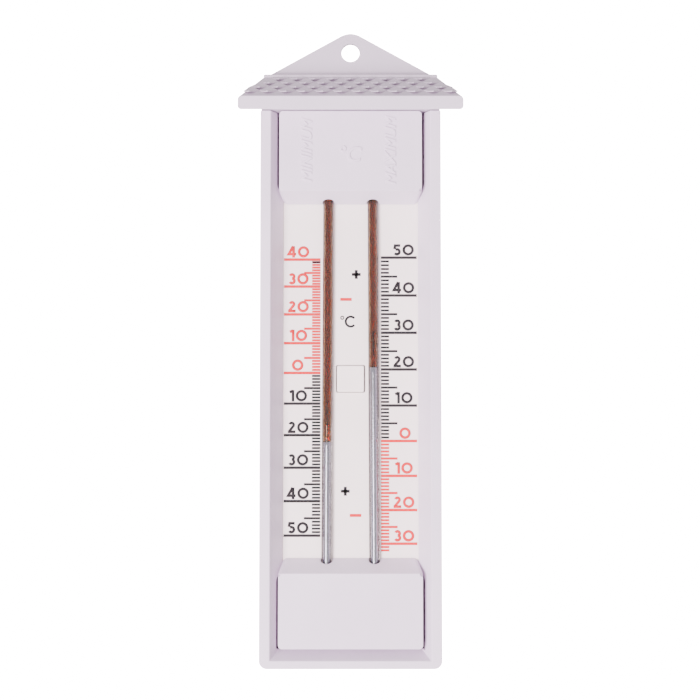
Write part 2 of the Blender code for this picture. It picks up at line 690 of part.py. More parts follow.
def make_scale_plate(enamel):
    """Flat plate with two grooves for the glass and a window for the button."""
    neck_top, neck_bottom = TOP_SLOPE_END - GAP, BOTTOM_SLOPE_END + GAP
    shoulder = PLATE_HALF - PLATE_NECK_HALF
    right = [
        (PLATE_NECK_HALF, PLATE_BOTTOM),
        (PLATE_NECK_HALF, neck_bottom),
        (PLATE_HALF, neck_bottom + shoulder),
        (PLATE_HALF, neck_top - shoulder),
        (PLATE_NECK_HALF, neck_top),
        (PLATE_NECK_HALF, PLATE_TOP),
    ]
    outline = right + [(-x, z) for x, z in reversed(right)]
    plate = outlined("scale_plate", outline, "Y", PLATE_FRONT, PLATE_REAR, enamel)
    for side in SIDES:
        start, end = leg_point(side, PLATE_BOTTOM - REACH), leg_point(side, PLATE_TOP + REACH)
        cut(plate, rod(f"groove_{side}", TUBE_RADIUS + SLIP, start, end, 24))
    half = BUTTON_WIDTH / 2 + BUTTON_CLEAR
    low = (-half, PLATE_FRONT - REACH, BUTTON_Z - BUTTON_HEIGHT / 2 - BUTTON_CLEAR)
    high = (half, PLATE_REAR + REACH, BUTTON_Z + BUTTON_HEIGHT / 2 + BUTTON_CLEAR)
    cut(plate, box("button_window", low, high))
    for z in (UPPER_CLIP_Z, LOWER_CLIP_Z):
        start, end = (0, PLATE_FRONT - REACH, z), (0, PLATE_REAR + REACH, z)
        cut(plate, rod("clip_peg_hole", CLIP_PEG + SLIP, start, end, 12))


def make_clip(name, z, material):
    """A bar across both legs, pegged to the scale plate."""
    front = TUBE_Y - TUBE_RADIUS - CLIP_THICK
    low = (-CLIP_HALF, front, z - CLIP_HEIGHT / 2)
    high = (CLIP_HALF, PLATE_FRONT - GAP, z + CLIP_HEIGHT / 2)
    clip = box(name, low, high, material)
    bevel(clip, SMALL_EDGE, 1)
    for side in SIDES:
        ends = leg_point(side, z - CLIP_HEIGHT), leg_point(side, z + CLIP_HEIGHT)
        cut(clip, rod(f"{name}_saddle_{side}", TUBE_RADIUS + SLIP, *ends, 20))
        # The saddle is open towards the plate, so the clip presses on from the front.
        x, half = leg_x(side, z), TUBE_RADIUS + SLIP
        low = (x - half, TUBE_Y, z - CLIP_HEIGHT)
        high = (x + half, REACH, z + CLIP_HEIGHT)
        cut(clip, box(f"{name}_mouth_{side}", low, high))
    start, end = (0, (front + PLATE_FRONT) / 2, z), (0, PLATE_REAR, z)
    join(clip, rod(f"{name}_peg", CLIP_PEG, start, end, 10))


# ---------------------------------------------------------------- glass and liquids


def bend_points(start, steps=14):
    """The centreline down the left leg from height start, round the bend and up the right leg."""
    left, right = leg_point("left", BEND_START), leg_point("right", BEND_START)
    radius = (right.x - left.x) / 2
    bend = arc((0, BEND_START), radius, 180, 360, steps)
    return [
        leg_point("left", start),
        *[Vector((x, TUBE_Y, z)) for x, z in bend],
        leg_point("right", start),
    ]


def tube_along(name, points, radius, resolution, material=None):
    """A round wire along a line of points, as a welded mesh."""
    curve = bpy.data.curves.new(name, "CURVE")
    curve.dimensions = "3D"
    curve.bevel_depth = radius
    curve.bevel_resolution = resolution
    curve.use_fill_caps = True
    spline = curve.splines.new("POLY")
    spline.points.add(len(points) - 1)
    for point, place in zip(spline.points, points):
        point.co = (*place, 1)
    return meshed(bpy.data.objects.new(name, curve), name, material)


def make_capillary(glass):
    tube = tube_along("capillary_tube", bend_points(TUBE_TOP), TUBE_RADIUS, 5, glass)
    cut(tube, tube_along("bore", bend_points(TUBE_TOP + REACH), BORE_RADIUS, 4))


def bulb_side(radius, neck_radius, top, lift=0.0):
    """A bulb's side view from its domed top down to its neck, whose cone can start higher by lift."""
    return [
        (0, top),
        (0.7 * radius, top - 0.16 * radius),
        (radius, top - 0.74 * radius),
        (radius, BULB_FOOT + BULB_NECK + lift),
        (neck_radius, BULB_FOOT + BULB_LIP + lift),
        (neck_radius, BULB_FOOT),
    ]


def make_bulb(name, side, top, glass):
    """A blown bulb, open below where it is fused to the capillary."""
    outer = bulb_side(BULB_RADIUS, TUBE_RADIUS, top)
    inner = bulb_side(BULB_RADIUS - BULB_WALL, BORE_RADIUS, top - BULB_WALL, BULB_WALL / 3)
    turned(name, outer + inner[::-1], leg_place(side), 16, glass)


def make_bulb_spirit(name, side, top, spirit):
    """What fills a bulb up to the height top."""
    radius = BULB_RADIUS - BULB_WALL - 2 * LIQUID_SLIP
    profile = bulb_side(radius, LIQUID_RADIUS, top, BULB_WALL)
    turned(name, profile + [(0, BULB_FOOT)], leg_place(side), 10, spirit)


def make_spirit_column(name, side, mercury_top, spirit):
    """Spirit between the mercury and the bulb, with the channel that the index slides in."""
    channel_top = INDEX_TOP + GAP
    profile = [
        (0, TUBE_TOP),
        (LIQUID_RADIUS, TUBE_TOP),
        (LIQUID_RADIUS, mercury_top + LIQUID_SLIP),
        (CHANNEL_RADIUS, mercury_top + LIQUID_SLIP),
        (CHANNEL_RADIUS, channel_top),
        (0, channel_top + CHANNEL_RADIUS),
    ]
    turned(name, profile, leg_place(side), 10, spirit)


def make_mercury(mercury):
    """The bend, which is always full, and the column in each leg that rises and falls."""
    tube_along("mercury_bend", bend_points(MERCURY_SPLIT), LIQUID_RADIUS, 2, mercury)
    foot = MERCURY_SPLIT + LIQUID_SLIP
    columns = (
        ("minimum_mercury_column", "left", MERCURY_LEFT),
        ("maximum_mercury_column", "right", MERCURY_RIGHT),
    )
    for name, side, top in columns:
        rod(name, LIQUID_RADIUS, leg_point(side, foot), leg_point(side, top), 10, mercury)


def make_index(name, side, foot, steel):
    """A steel pin with rounded bead ends that the mercury pushes up."""
    top = foot + INDEX_LENGTH
    profile = [
        (0, top),
        (INDEX_RADIUS, top - INDEX_RADIUS),
        (INDEX_RADIUS, top - 2 * INDEX_RADIUS),
        (INDEX_WAIST, top - 3 * INDEX_RADIUS),
        (INDEX_WAIST, foot + 3 * INDEX_RADIUS),
        (INDEX_RADIUS, foot + 2 * INDEX_RADIUS),
        (INDEX_RADIUS, foot + INDEX_RADIUS),
        (0, foot),
    ]
    turned(name, profile, leg_place(side), 8, steel)


# ---------------------------------------------------------------- reset mechanism


def make_magnet(side, ferrite):
    """Ferrite strip behind a leg. It holds the index against the glass."""
    x = leg_x(side, (MAGNET_TOP + MAGNET_BOTTOM) / 2)
    low = (x - MAGNET_WIDTH / 2, MAGNET_FRONT, MAGNET_BOTTOM)
    high = (x + MAGNET_WIDTH / 2, MAGNET_REAR, MAGNET_TOP)
    bevel(box(f"magnet_strip_{side}", low, high, ferrite), SMALL_EDGE / 2, 1)


def make_carrier(nylon):
    """Plate that carries both magnet strips and slides on two guide posts."""
    low = (-CARRIER_HALF, CARRIER_FRONT, MAGNET_BOTTOM - CARRIER_MARGIN)
    high = (CARRIER_HALF, CARRIER_REAR, MAGNET_TOP + CARRIER_MARGIN)
    carrier = box("magnet_carrier", low, high, nylon)
    bevel(carrier, SMALL_EDGE, 1)
    for z in GUIDE_POST_Z:
        start, end = (0, CARRIER_FRONT - REACH, z), (0, CARRIER_REAR + REACH, z)
        cut(carrier, rod("guide_hole", POST_RADIUS + GAP, start, end, 16))
    hole = PEG_HALF + SLIP
    low = (-hole, CARRIER_FRONT - REACH, BUTTON_Z - hole)
    high = (hole, CARRIER_REAR + REACH, BUTTON_Z + hole)
    cut(carrier, box("peg_hole", low, high))


def make_button(enamel):
    """Square push button. Its stem rests on the carrier, and the peg on the stem snaps through it."""
    front = PLATE_FRONT - BUTTON_PROUD
    low = (-BUTTON_WIDTH / 2, front, BUTTON_Z - BUTTON_HEIGHT / 2)
    high = (BUTTON_WIDTH / 2, PLATE_REAR, BUTTON_Z + BUTTON_HEIGHT / 2)
    button = box("reset_button", low, high, enamel)
    bevel(button, BUTTON_EDGE)
    middle = (front + PLATE_REAR) / 2
    for name, half, end in (
        ("stem", STEM_HALF, CARRIER_FRONT - GLUE),
        ("peg", PEG_HALF, CARRIER_REAR),
    ):
        low, high = (-half, middle, BUTTON_Z - half), (half, end, BUTTON_Z + half)
        join(button, box(f"button_{name}", low, high))


def make_spring(steel):
    """Coil between the back plate and the carrier that brings the button forward again."""
    start = BACK_FRONT - SPRING_WIRE - GLUE
    end = CARRIER_REAR + SPRING_WIRE + GLUE
    radius = SPRING_RADIUS - SPRING_WIRE
    points = []
    for i in range(SPRING_STEPS + 1):
        share = i / SPRING_STEPS
        angle = 2 * math.pi * SPRING_TURNS * share
        y = start + (end - start) * share
        points.append((radius * math.cos(angle), y, BUTTON_Z + radius * math.sin(angle)))
    tube_along("return_spring", points, SPRING_WIRE, 1, steel)


# ---------------------------------------------------------------- the whole thermometer


def main():
    clear_scene()
    shell = finish("white_shell", (0.78, 0.76, 0.80), 0.45)
    enamel = finish("scale_white", (0.86, 0.84, 0.83), 0.35)
    glass = finish("clear_glass", (0.85, 0.88, 0.88), 0.05)
    spirit = finish("amber_spirit", (0.62, 0.20, 0.03), 0.1)
    mercury = finish("mercury", (0.62, 0.63, 0.66), 0.12, 1.0)
    steel = finish("plated_steel", (0.55, 0.55, 0.56), 0.3, 1.0)
    dark_steel = finish("index_steel", (0.05, 0.03, 0.03), 0.4, 0.6)
    ferrite = finish("ferrite", (0.06, 0.06, 0.06), 0.7)
    nylon = finish("carrier_nylon", (0.70, 0.70, 0.68), 0.5)

    make_back_plate(shell)
    make_case(shell)
    make_roof(shell)
    make_cover("top_cover", CASE_TOP, TOP_FACE_END, TOP_SLOPE_END, TOP_COVER_SCREW_Z, shell)
    make_cover(
        "bottom_cover",
        BOTTOM_COVER_END,
        BOTTOM_FACE_END,
        BOTTOM_SLOPE_END,
        BOTTOM_COVER_SCREW_Z,
        shell,
    )
    make_screws(steel)

    make_scale_plate(enamel)
    make_clip("upper_tube_clip", UPPER_CLIP_Z, nylon)
    make_clip("lower_tube_clip", LOWER_CLIP_Z, nylon)

    make_capillary(glass)
    expansion_top = BULB_FOOT + BULB_NECK + EXPANSION_LENGTH
    full = BULB_TOP - BULB_WALL - BULB_SLIP
    part_full = BULB_FOOT + BULB_NECK + EXPANSION_FILL * EXPANSION_LENGTH
    make_bulb("minimum_bulb", "left", BULB_TOP, glass)
    make_bulb("expansion_bulb", "right", expansion_top, glass)
    make_bulb_spirit("minimum_bulb_spirit", "left", full, spirit)
    make_bulb_spirit("expansion_bulb_spirit", "right", part_full, spirit)
    make_spirit_column("minimum_spirit_column", "left", MERCURY_LEFT, spirit)
    make_spirit_column("maximum_spirit_column", "right", MERCURY_RIGHT, spirit)
    make_mercury(mercury)
    make_index("minimum_index", "left", INDEX_LEFT_FOOT, dark_steel)
    make_index("maximum_index", "right", INDEX_RIGHT_FOOT, dark_steel)

    for side in SIDES:
        make_magnet(side, ferrite)
    make_carrier(nylon)
    make_button(enamel)
    make_spring(steel)


main()
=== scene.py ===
"""Looks of the maximum minimum thermometer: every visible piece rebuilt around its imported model.

Frame: metres, +Z up. The origin is the centre of the hanging hole on the wall plane, the wall is at
Y = 0 and the scale faces -Y. A leg is "left" at -X, the minimum side, or "right" at +X.
"""

import math
from contextlib import contextmanager

import bmesh
import bpy
from mathutils import Matrix, Vector


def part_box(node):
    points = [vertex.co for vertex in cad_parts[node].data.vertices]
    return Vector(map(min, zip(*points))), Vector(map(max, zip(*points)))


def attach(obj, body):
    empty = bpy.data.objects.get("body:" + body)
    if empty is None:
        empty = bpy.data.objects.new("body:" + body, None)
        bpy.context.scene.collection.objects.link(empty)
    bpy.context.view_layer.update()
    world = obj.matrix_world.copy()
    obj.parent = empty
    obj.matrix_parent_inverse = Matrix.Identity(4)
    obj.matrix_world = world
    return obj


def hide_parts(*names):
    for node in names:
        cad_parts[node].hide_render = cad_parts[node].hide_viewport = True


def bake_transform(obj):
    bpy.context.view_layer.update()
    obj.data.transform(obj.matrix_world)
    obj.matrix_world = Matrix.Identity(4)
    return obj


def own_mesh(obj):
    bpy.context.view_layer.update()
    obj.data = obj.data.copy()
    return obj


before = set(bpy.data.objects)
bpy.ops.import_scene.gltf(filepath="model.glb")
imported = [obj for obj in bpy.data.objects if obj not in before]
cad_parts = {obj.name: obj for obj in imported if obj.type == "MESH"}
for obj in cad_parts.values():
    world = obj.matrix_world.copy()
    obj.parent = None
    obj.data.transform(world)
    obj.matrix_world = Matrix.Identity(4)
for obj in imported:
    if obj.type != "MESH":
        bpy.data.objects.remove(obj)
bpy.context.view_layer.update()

MM = 0.001
SIDES = {"left": -1, "right": 1}

# ---- places taken from the frame ----
CASE_LOW, CASE_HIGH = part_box("case_front")
ROOF_LOW, ROOF_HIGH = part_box("roof")
TOP_LOW, TOP_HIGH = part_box("top_cover")
BOTTOM_LOW, BOTTOM_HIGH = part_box("bottom_cover")
PLATE_LOW, PLATE_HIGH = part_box("scale_plate")
BACK_LOW, BACK_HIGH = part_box("back_plate")
TUBE_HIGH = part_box("capillary_tube")[1]
BUTTON_LOW, BUTTON_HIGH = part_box("reset_button")
SPRING_LOW, SPRING_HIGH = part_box("return_spring")

# ---- the case and its covers ----
REACH = 3 * MM  # how far a cutter runs past what it cuts
RIM = 3.7 * MM
BOTTOM_RIM = 2.8 * MM
CASE_CORNER = 2.8 * MM
WALL = 1.8 * MM
SEAT = -11.3 * MM  # depth of the bezel's rear edge
BEZEL_RUN = (8.0 * MM - RIM) / (SEAT - CASE_LOW.y)  # sideways per unit of depth
AIR_SLOT = 0.9 * MM
POCKET_GAP = 0.3 * MM
POCKET_CORNER = 3.6 * MM
SILL_CLEAR = 0.6 * MM
COVER_WALL = 1.4 * MM
COVER_REAR = SEAT + 5.3 * MM
TOP_SLOPE = 3.8 * MM  # height of each cover's sloping end
BOTTOM_SLOPE = 4.8 * MM
COVER_CORNER = 1.3 * MM
PANEL_FRAME = 2.5 * MM  # border of the face, around its slightly sunk panel
FAR_CORNER = 1.4 * MM
COVER_EDGE = 1.0 * MM
BACK_THICK = 2.0 * MM
TAB_RADIUS = 7.15 * MM
TAB_SLOPE = math.radians(28.9)
HANG_RADIUS = 3.4 * MM
SINK_RADIUS, SINK_DEPTH = 2.25 * MM, 1.6 * MM  # of each screw's countersink
SHANK_RADIUS = 1.25 * MM
EJECTOR_RADIUS, EJECTOR_DEPTH = 2.4 * MM, 0.12 * MM
EJECTOR_X = 12.5 * MM
EJECTOR_HEIGHTS = (-40 * MM, -95 * MM, -150 * MM, -205 * MM)
POST_RADIUS = 2.0 * MM
POST_HEIGHTS = (-82 * MM, -168 * MM)
STEM_HALF, PEG_HALF = 3.2 * MM, 2.3 * MM  # half the width of the button's stem and of its peg

# ---- the roof ----
RIDGE_FLAT = 5.0 * MM
RIDGE_HALF = 32.1 * MM
ROOF_WALL = 1.8 * MM
EAVE_Z = -22.3 * MM
SOFFIT = ROOF_LOW.z
SLATE_PITCH = 6.5 * MM
SLATE_ROWS = 4
SLATES_IN_TOP_ROW = 9
SLATE_STEP = 6.2 * MM  # from row to row, up the slope
SLATE_START = 1.6 * MM  # from the eave to the first row's tips
SLATE_LIFT = 1.3 * MM  # how far a slate's tip stands off the roof
SLATE_THICK = 0.42 * MM
SLATE_BED = 0.75 * MM  # the slates lie this far below the ridge's level
SLATE_PROUD = 0.2 * MM
SLATE_INSET = 0.2 * MM  # the field of slates ends this far inside the roof's ends
SLATE_TUCK = 1.2 * MM  # and this far in front of the ridge's rear part
ROOF_LIP = 1.4 * MM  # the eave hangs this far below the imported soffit
SOFFIT_RISE = 1.2 * MM  # and the box behind it starts this far above

# ---- glass and liquids ----
TUBE_RADIUS = 1.9 * MM
LEG_HALF_TOP = 8.05 * MM
LEG_HALF_BOTTOM = 8.62 * MM
TUBE_Y = -12.1 * MM
BEND_START = -203.0 * MM
BORE_RADIUS = 0.95 * MM
LIQUID_RADIUS = 1.0 * MM  # reaches a little into the glass, so no gap shows
TOP_OF_SCALE, BOTTOM_OF_SCALE = TOP_LOW.z, BOTTOM_HIGH.z
LEG_SPREAD = (LEG_HALF_BOTTOM - LEG_HALF_TOP) / (TOP_OF_SCALE - BOTTOM_OF_SCALE)

# ---- print on the scale ----
INK = 0.03 * MM
NUMERAL_HEIGHT = 4.2 * MM
NUMERAL_STROKE = 1.0 * MM
NUMERAL_SPACE = 0.5 * MM
NUMERAL_LIFT = 0.72 * MM  # from the middle of a line to the foot of its number
PEN = NUMERAL_STROKE / NUMERAL_HEIGHT
STROKE_STEP = 0.2  # each stroke of a mark is thicker by this share, so no two faces lie together
TICK_WIDTHS = (1.0 * MM, 0.86 * MM, 0.78 * MM)  # of the lines every 10, 5 and 1 degrees
SIGN_STROKE = 1.1 * MM
RELIEF = 0.12 * MM  # half the thickness of the raised lettering, without its sloping edges
RELIEF_EDGE = 0.24 * MM
CAPITAL_SHARE = 0.72  # height of a capital letter, as a share of the font's size

# Each scale is in millimetres: start is the height of the line for the top degree, and each degree
# after it is lower by step plus a growing share. X runs from inner to the outer end of a line.
MINIMUM_SCALE = {
    "top": -40, "lowest": -41, "highest": 50, "start": -78.56, "step": 0.96964, "growth": 0.00157,
    "inner": -10.9, "outer": (-24.2, -16.9, -14.0), "middle": -18.95, "zero_middle": -19.2,
    "numbers": range(-40, 51, 10),
}
MAXIMUM_SCALE = {
    "top": 50, "lowest": -32, "highest": 50, "start": -77.84, "step": 1.3965, "growth": -0.001268,
    "inner": 11.0, "outer": (24.1, 17.0, 14.0), "middle": 19.3, "zero_middle": 19.7,
    "numbers": range(-30, 51, 10),
}
# Signs between the tubes: colour, X and Z of the middle, and half its length, in millimetres.
SIGNS = (
    ("black", 2.07, -84.0, 1.63),
    ("red", -1.67, -93.1, 2.1),
    ("black", -1.9, -162.6, 1.63),
    ("red", 1.8, -171.3, 2.1),
)
UNIT_X, UNIT_Z = 0.05 * MM, -101.2 * MM
RING_X, RING_Z = -3.0 * MM, -99.8 * MM
MENISCUS = 0.45 * MM  # height of the mercury's dome
PLATE_TUCK = 4.2 * MM  # the plate keeps its width this far under each cover
SPIRIT_DENSITY = 3300.0  # of the absorption, per metre

FLOOR_Z = -0.5
KEY_PLACE, KEY_TARGET = Vector((-0.34, -0.72, -0.3)), Vector((0, 0, -0.12))
KEY_SIZE = 0.34
KEY_POWER = 20.0
LIGHT_TINT = (1.0, 0.915, 0.965)
AMBIENT = 1.15  # the world's strength as a light
BACKDROP = 24.0  # and as the pale backdrop itself
CAMERA_TARGET = (-0.2, -20.0, -112.0)  # in millimetres, as is the distance from it
CAMERA_DISTANCE = 520
CAMERA_PITCH = 3  # degrees
LENS = 74.95


# ---- modelling helpers ----


def only(obj):
    bpy.ops.object.select_all(action="DESELECT")
    obj.select_set(True)
    bpy.context.view_layer.objects.active = obj


@contextmanager
def editing(obj):
    """Edit mode on one object, with nothing selected in it."""
    only(obj)
    bpy.ops.object.mode_set(mode="EDIT")
    bpy.ops.mesh.select_mode(type="VERT")
    bpy.ops.mesh.select_all(action="DESELECT")
    yield
    bpy.ops.object.mode_set(mode="OBJECT")


def pick(obj, kind, test):
    """Selects the "VERT", "EDGE" or "FACE" elements that pass a test, in edit mode."""
    bpy.ops.mesh.select_mode(type=kind)
    bpy.ops.mesh.select_all(action="DESELECT")
    shape = bmesh.from_edit_mesh(obj.data)
    elements = {"VERT": shape.verts, "EDGE": shape.edges, "FACE": shape.faces}[kind]
    for element in elements:
        if test(element):
            element.select_set(True)
    bmesh.update_edit_mesh(obj.data)


def select_whole():
    bpy.ops.mesh.select_all(action="SELECT")


def merge_doubles(distance):
    select_whole()
    bpy.ops.mesh.remove_doubles(threshold=distance)


def look_outwards():
    """Turns every face of a closed mesh outwards."""
    select_whole()
    bpy.ops.mesh.normals_make_consistent(inside=False)


def slice_at(place, normal, **settings):
    """Cuts new edges through the whole mesh along a plane."""
    select_whole()
    bpy.ops.mesh.bisect(plane_co=place, plane_no=normal, **settings)


def extrude(step):
    bpy.ops.mesh.extrude_region_move(TRANSFORM_OT_translate={"value": step})


def move_up(distance):
    bpy.ops.transform.translate(value=(0, 0, distance))


def squeeze(share):
    """Scales what is selected towards the plane X = 0."""
    bpy.ops.transform.resize(value=(share, 1, 1), center_override=(0, 0, 0))


def primitive(name, add, **settings):
    """A named primitive, with its place and size moved into its mesh."""
    bpy.ops.object.select_all(action="DESELECT")
    add(**settings)
    obj = bpy.context.object
    obj.name = obj.data.name = name
    bpy.ops.object.transform_apply(location=True, rotation=True, scale=True)
    return obj


def block(name, low, high):
    low, high = Vector(low), Vector(high)
    add = bpy.ops.mesh.primitive_cube_add
    return primitive(name, add, size=1, location=(low + high) / 2, scale=high - low)


def bar(name, radius, start, end, sides=48, end_radius=None):
    """A cylinder between two points, or a cone where its end has a radius of its own."""
    start, end = Vector(start), Vector(end)
    span = end - start
    return primitive(
        name,
        bpy.ops.mesh.primitive_cone_add,
        vertices=sides,
        radius1=radius,
        radius2=radius if end_radius is None else end_radius,
        depth=span.length,
        location=(start + end) / 2,
        rotation=span.to_track_quat("Z", "Y").to_euler(),
    )


def modify(obj, kind, **settings):
    """Adds a modifier and applies it."""
    only(obj)
    modifier = obj.modifiers.new(kind.lower(), kind)
    for key, value in settings.items():
        setattr(modifier, key, value)
    bpy.ops.object.modifier_apply(modifier=modifier.name)


def combine(obj, operation, tools):
    for tool in tools:
        modify(obj, "BOOLEAN", object=tool, operation=operation, solver="EXACT")
        bpy.data.objects.remove(tool, do_unlink=True)


def cut(obj, *tools):
    combine(obj, "DIFFERENCE", tools)


def fuse(obj, *tools):
    combine(obj, "UNION", tools)


def join(name, pieces):
    """Puts separate shapes into one piece."""
    bpy.ops.object.select_all(action="DESELECT")
    for piece in pieces:
        piece.select_set(True)
    bpy.context.view_layer.objects.active = pieces[0]
    if len(pieces) > 1:
        bpy.ops.object.join()
    pieces[0].name = pieces[0].data.name = name
    return pieces[0]


def linked(name, data):
    """A new object in the scene."""
    obj = bpy.data.objects.new(name, data)
    bpy.context.scene.collection.objects.link(obj)
    return obj


def copy_of(source, matrix):
    """A copy with its own mesh, moved by a matrix."""
    twin = source.copy()
    twin.data = source.data.copy()
    twin.data.transform(matrix)
    bpy.context.scene.collection.objects.link(twin)
    return twin


def clean(obj, angle=0.5):
    """Merges what the cuts left double and dissolves needless edges on flat faces."""
    with editing(obj):
        merge_doubles(1e-6)
        bpy.ops.mesh.dissolve_limited(angle_limit=math.radians(angle))


def round_edges(obj, width, segments=3, angle=28):
    limit = math.radians(angle)
    modify(obj, "BEVEL", width=width, segments=segments, limit_method="ANGLE", angle_limit=limit)


def smooth(obj, angle=32):
    only(obj)
    bpy.ops.object.shade_smooth_by_angle(angle=math.radians(angle))
    modify(obj, "WEIGHTED_NORMAL", keep_sharp=True, weight=90)


def bevel_edges(obj, test, width, segments):
    """Rounds only the edges that pass a test."""
    with editing(obj):
        pick(obj, "EDGE", test)
        bpy.ops.mesh.bevel(offset=width, segments=segments, affect="EDGES")


def runs_along(edge, axis):
    """True for an edge parallel to an axis, 0 to 2."""
    span = edge.verts[1].co - edge.verts[0].co
    return abs(span[axis]) > 0.999 * span.length


def near(value, goal):
    return abs(value - goal) < 0.02 * MM


def round_corners(obj, z, width, segments):
    """Rounds the corners at height z whose edges run from front to back."""
    bevel_edges(obj, lambda e: runs_along(e, 1) and near(e.verts[0].co.z, z), width, segments)


def finished(piece, body, slot, material, *nodes):
    """Gives a piece its finish and its body, and hides the nodes that it stands for."""
    piece.data.materials.clear()
    piece.data.materials.append(material)
    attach(piece, body)
    if nodes:
        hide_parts(*nodes)
    return piece


# ---- finishes ----


class Finish:
    """A Principled material, and short ways to wire patterns on Object coordinates into it."""

    def __init__(self, name, colour, roughness, **values):
        self.material = bpy.data.materials.new(name)
        self.material.use_nodes = True
        self.nodes = self.material.node_tree.nodes
        self.links = self.material.node_tree.links
        self.shader = self.nodes["Principled BSDF"]
        self.set("Base Color", (*colour, 1.0))
        self.set("Roughness", roughness)
        for socket, value in values.items():
            self.set(socket.replace("_", " "), value)
        self.place = self.nodes.new("ShaderNodeTexCoord").outputs["Object"]

    def set(self, socket, value):
        self.shader.inputs[socket].default_value = value

    def link(self, output, socket):
        self.links.new(output, self.shader.inputs[socket])

    def noise(self, size, detail=2.0, stretch=(1, 1, 1), rough=0.5):
        """Noise whose features are about size across, or stretch times that along an axis."""
        mapping = self.nodes.new("ShaderNodeMapping")
        mapping.inputs["Scale"].default_value = [1 / s for s in stretch]
        texture = self.nodes.new("ShaderNodeTexNoise")
        texture.inputs["Scale"].default_value = 1 / size
        texture.inputs["Detail"].default_value = detail
        texture.inputs["Roughness"].default_value = rough
        self.links.new(self.place, mapping.inputs["Vector"])
        self.links.new(mapping.outputs["Vector"], texture.inputs["Vector"])
        return texture.outputs["Fac"]

    def span(self, value, low, high, start=0.3, end=0.7):
        """Maps a pattern's middle range to low..high."""
        node = self.nodes.new("ShaderNodeMapRange")
        self.links.new(value, node.inputs["Value"])
        for socket, number in (
            ("From Min", start), ("From Max", end), ("To Min", low), ("To Max", high)
        ):
            node.inputs[socket].default_value = number
        return node.outputs["Result"]

    def mix(self, factor, first, second):
        """Blends two colours, each a tuple or another output."""
        node = self.nodes.new("ShaderNodeMix")
        node.data_type = "RGBA"
        self.links.new(factor, node.inputs["Factor"])
        for socket, colour in ((node.inputs[6], first), (node.inputs[7], second)):
            if isinstance(colour, tuple):
                socket.default_value = (*colour, 1.0)
            else:
                self.links.new(colour, socket)
        return node.outputs[2]

    def tint(self, factor, first, second):
        self.link(self.mix(factor, first, second), "Base Color")

    def wear(self, pattern, low, high):
        self.link(self.span(pattern, low, high), "Roughness")

    def bump(self, height, strength, distance):
        node = self.nodes.new("ShaderNodeBump")
        node.inputs["Strength"].default_value = strength
        node.inputs["Distance"].default_value = distance
        self.links.new(height, node.inputs["Height"])
        self.links.new(node.outputs["Normal"], self.shader.inputs["Normal"])


def moulded_plastic(name, shade=1.0):
    """Off-white moulding: a faint lilac cast, cloudy colour and a fine spark-eroded grain. A shade
    below 1 gives a darker copy of the same plastic, as painted shade.
    """
    dull, bright = (0.68, 0.585, 0.70), (0.72, 0.625, 0.735)
    # Scaling both tones down paints shade into this copy of the plastic.
    dull, bright = (tuple(shade * value for value in colour) for colour in (dull, bright))
    finish = Finish(name, bright, 0.45, Specular_IOR_Level=0.4)
    finish.tint(finish.span(finish.noise(22 * MM, 3), 0, 1), dull, bright)
    finish.wear(finish.noise(1.2 * MM, 3), 0.40, 0.54)
    finish.bump(finish.noise(0.22 * MM, 3), 0.22, 0.03 * MM)
    return finish.material


def scale_enamel():
    """Warm white of the printed plate, smoother than the case."""
    finish = Finish("scale_enamel", (0.94, 0.84, 0.815), 0.32)
    cloud = finish.span(finish.noise(14 * MM, 2), 0, 1)
    finish.tint(cloud, (0.93, 0.825, 0.80), (0.96, 0.86, 0.835))
    finish.wear(finish.noise(0.8 * MM, 3), 0.27, 0.4)
    finish.bump(finish.noise(0.3 * MM, 2), 0.1, 0.02 * MM)
    return finish.material


def print_ink(name, dense, thin):
    """Screen-printed ink whose density varies a little."""
    finish = Finish(name, dense, 0.45)
    finish.tint(finish.span(finish.noise(0.35 * MM, 3), 0, 1), dense, thin)
    finish.wear(finish.noise(0.2 * MM, 2), 0.36, 0.55)
    finish.bump(finish.noise(0.12 * MM, 2), 0.15, 0.01 * MM)
    return finish.material


def drawn_glass():
    """Clear glass with the faint lengthwise ripple of drawn tube, and painted shade that darkens its
    colour towards the tube's edges.
    """
    finish = Finish("drawn_glass", (0.97, 0.98, 0.97), 0.02, IOR=1.47, Transmission_Weight=1.0)
    ripple = finish.noise(0.5 * MM, 2, stretch=(1, 1, 30))
    clear = finish.mix(ripple, (0.95, 0.955, 0.955), (0.985, 0.985, 0.985))
    weight = finish.nodes.new("ShaderNodeLayerWeight")
    weight.inputs["Blend"].default_value = 0.5
    # Painted shade: the colour turns near black where the surface turns away from the view.
    painted_edge_shade = finish.span(weight.outputs["Facing"], 0, 1, 0.16, 0.52)
    finish.tint(painted_edge_shade, clear, (0.10, 0.075, 0.075))
    finish.bump(ripple, 0.02, 0.01 * MM)
    return finish.material


def dyed_spirit():
    """Amber creosote spirit, clear, and darker the more of it the light goes through."""
    finish = Finish("dyed_spirit", (0.96, 0.68, 0.30), 0.02, IOR=1.36, Transmission_Weight=1.0)
    cloud = finish.noise(3 * MM, 2, stretch=(1, 1, 4))
    finish.tint(cloud, (0.94, 0.64, 0.25), (0.98, 0.72, 0.35))
    tint = finish.nodes.new("ShaderNodeVolumeAbsorption")
    tint.inputs["Color"].default_value = (0.85, 0.50, 0.01, 1.0)
    tint.inputs["Density"].default_value = SPIRIT_DENSITY
    output = finish.nodes["Material Output"]
    finish.links.new(tint.outputs["Volume"], output.inputs["Volume"])
    return finish.material


def liquid_mercury():
    # The metal colour is held well below bright mercury: painted reflection of dark surroundings.
    finish = Finish("liquid_mercury", (0.36, 0.36, 0.40), 0.12, Metallic=1.0)
    streak = finish.noise(0.6 * MM, 2, stretch=(1, 1, 12))
    finish.tint(streak, (0.28, 0.28, 0.32), (0.42, 0.42, 0.46))
    finish.wear(streak, 0.08, 0.2)
    return finish.material


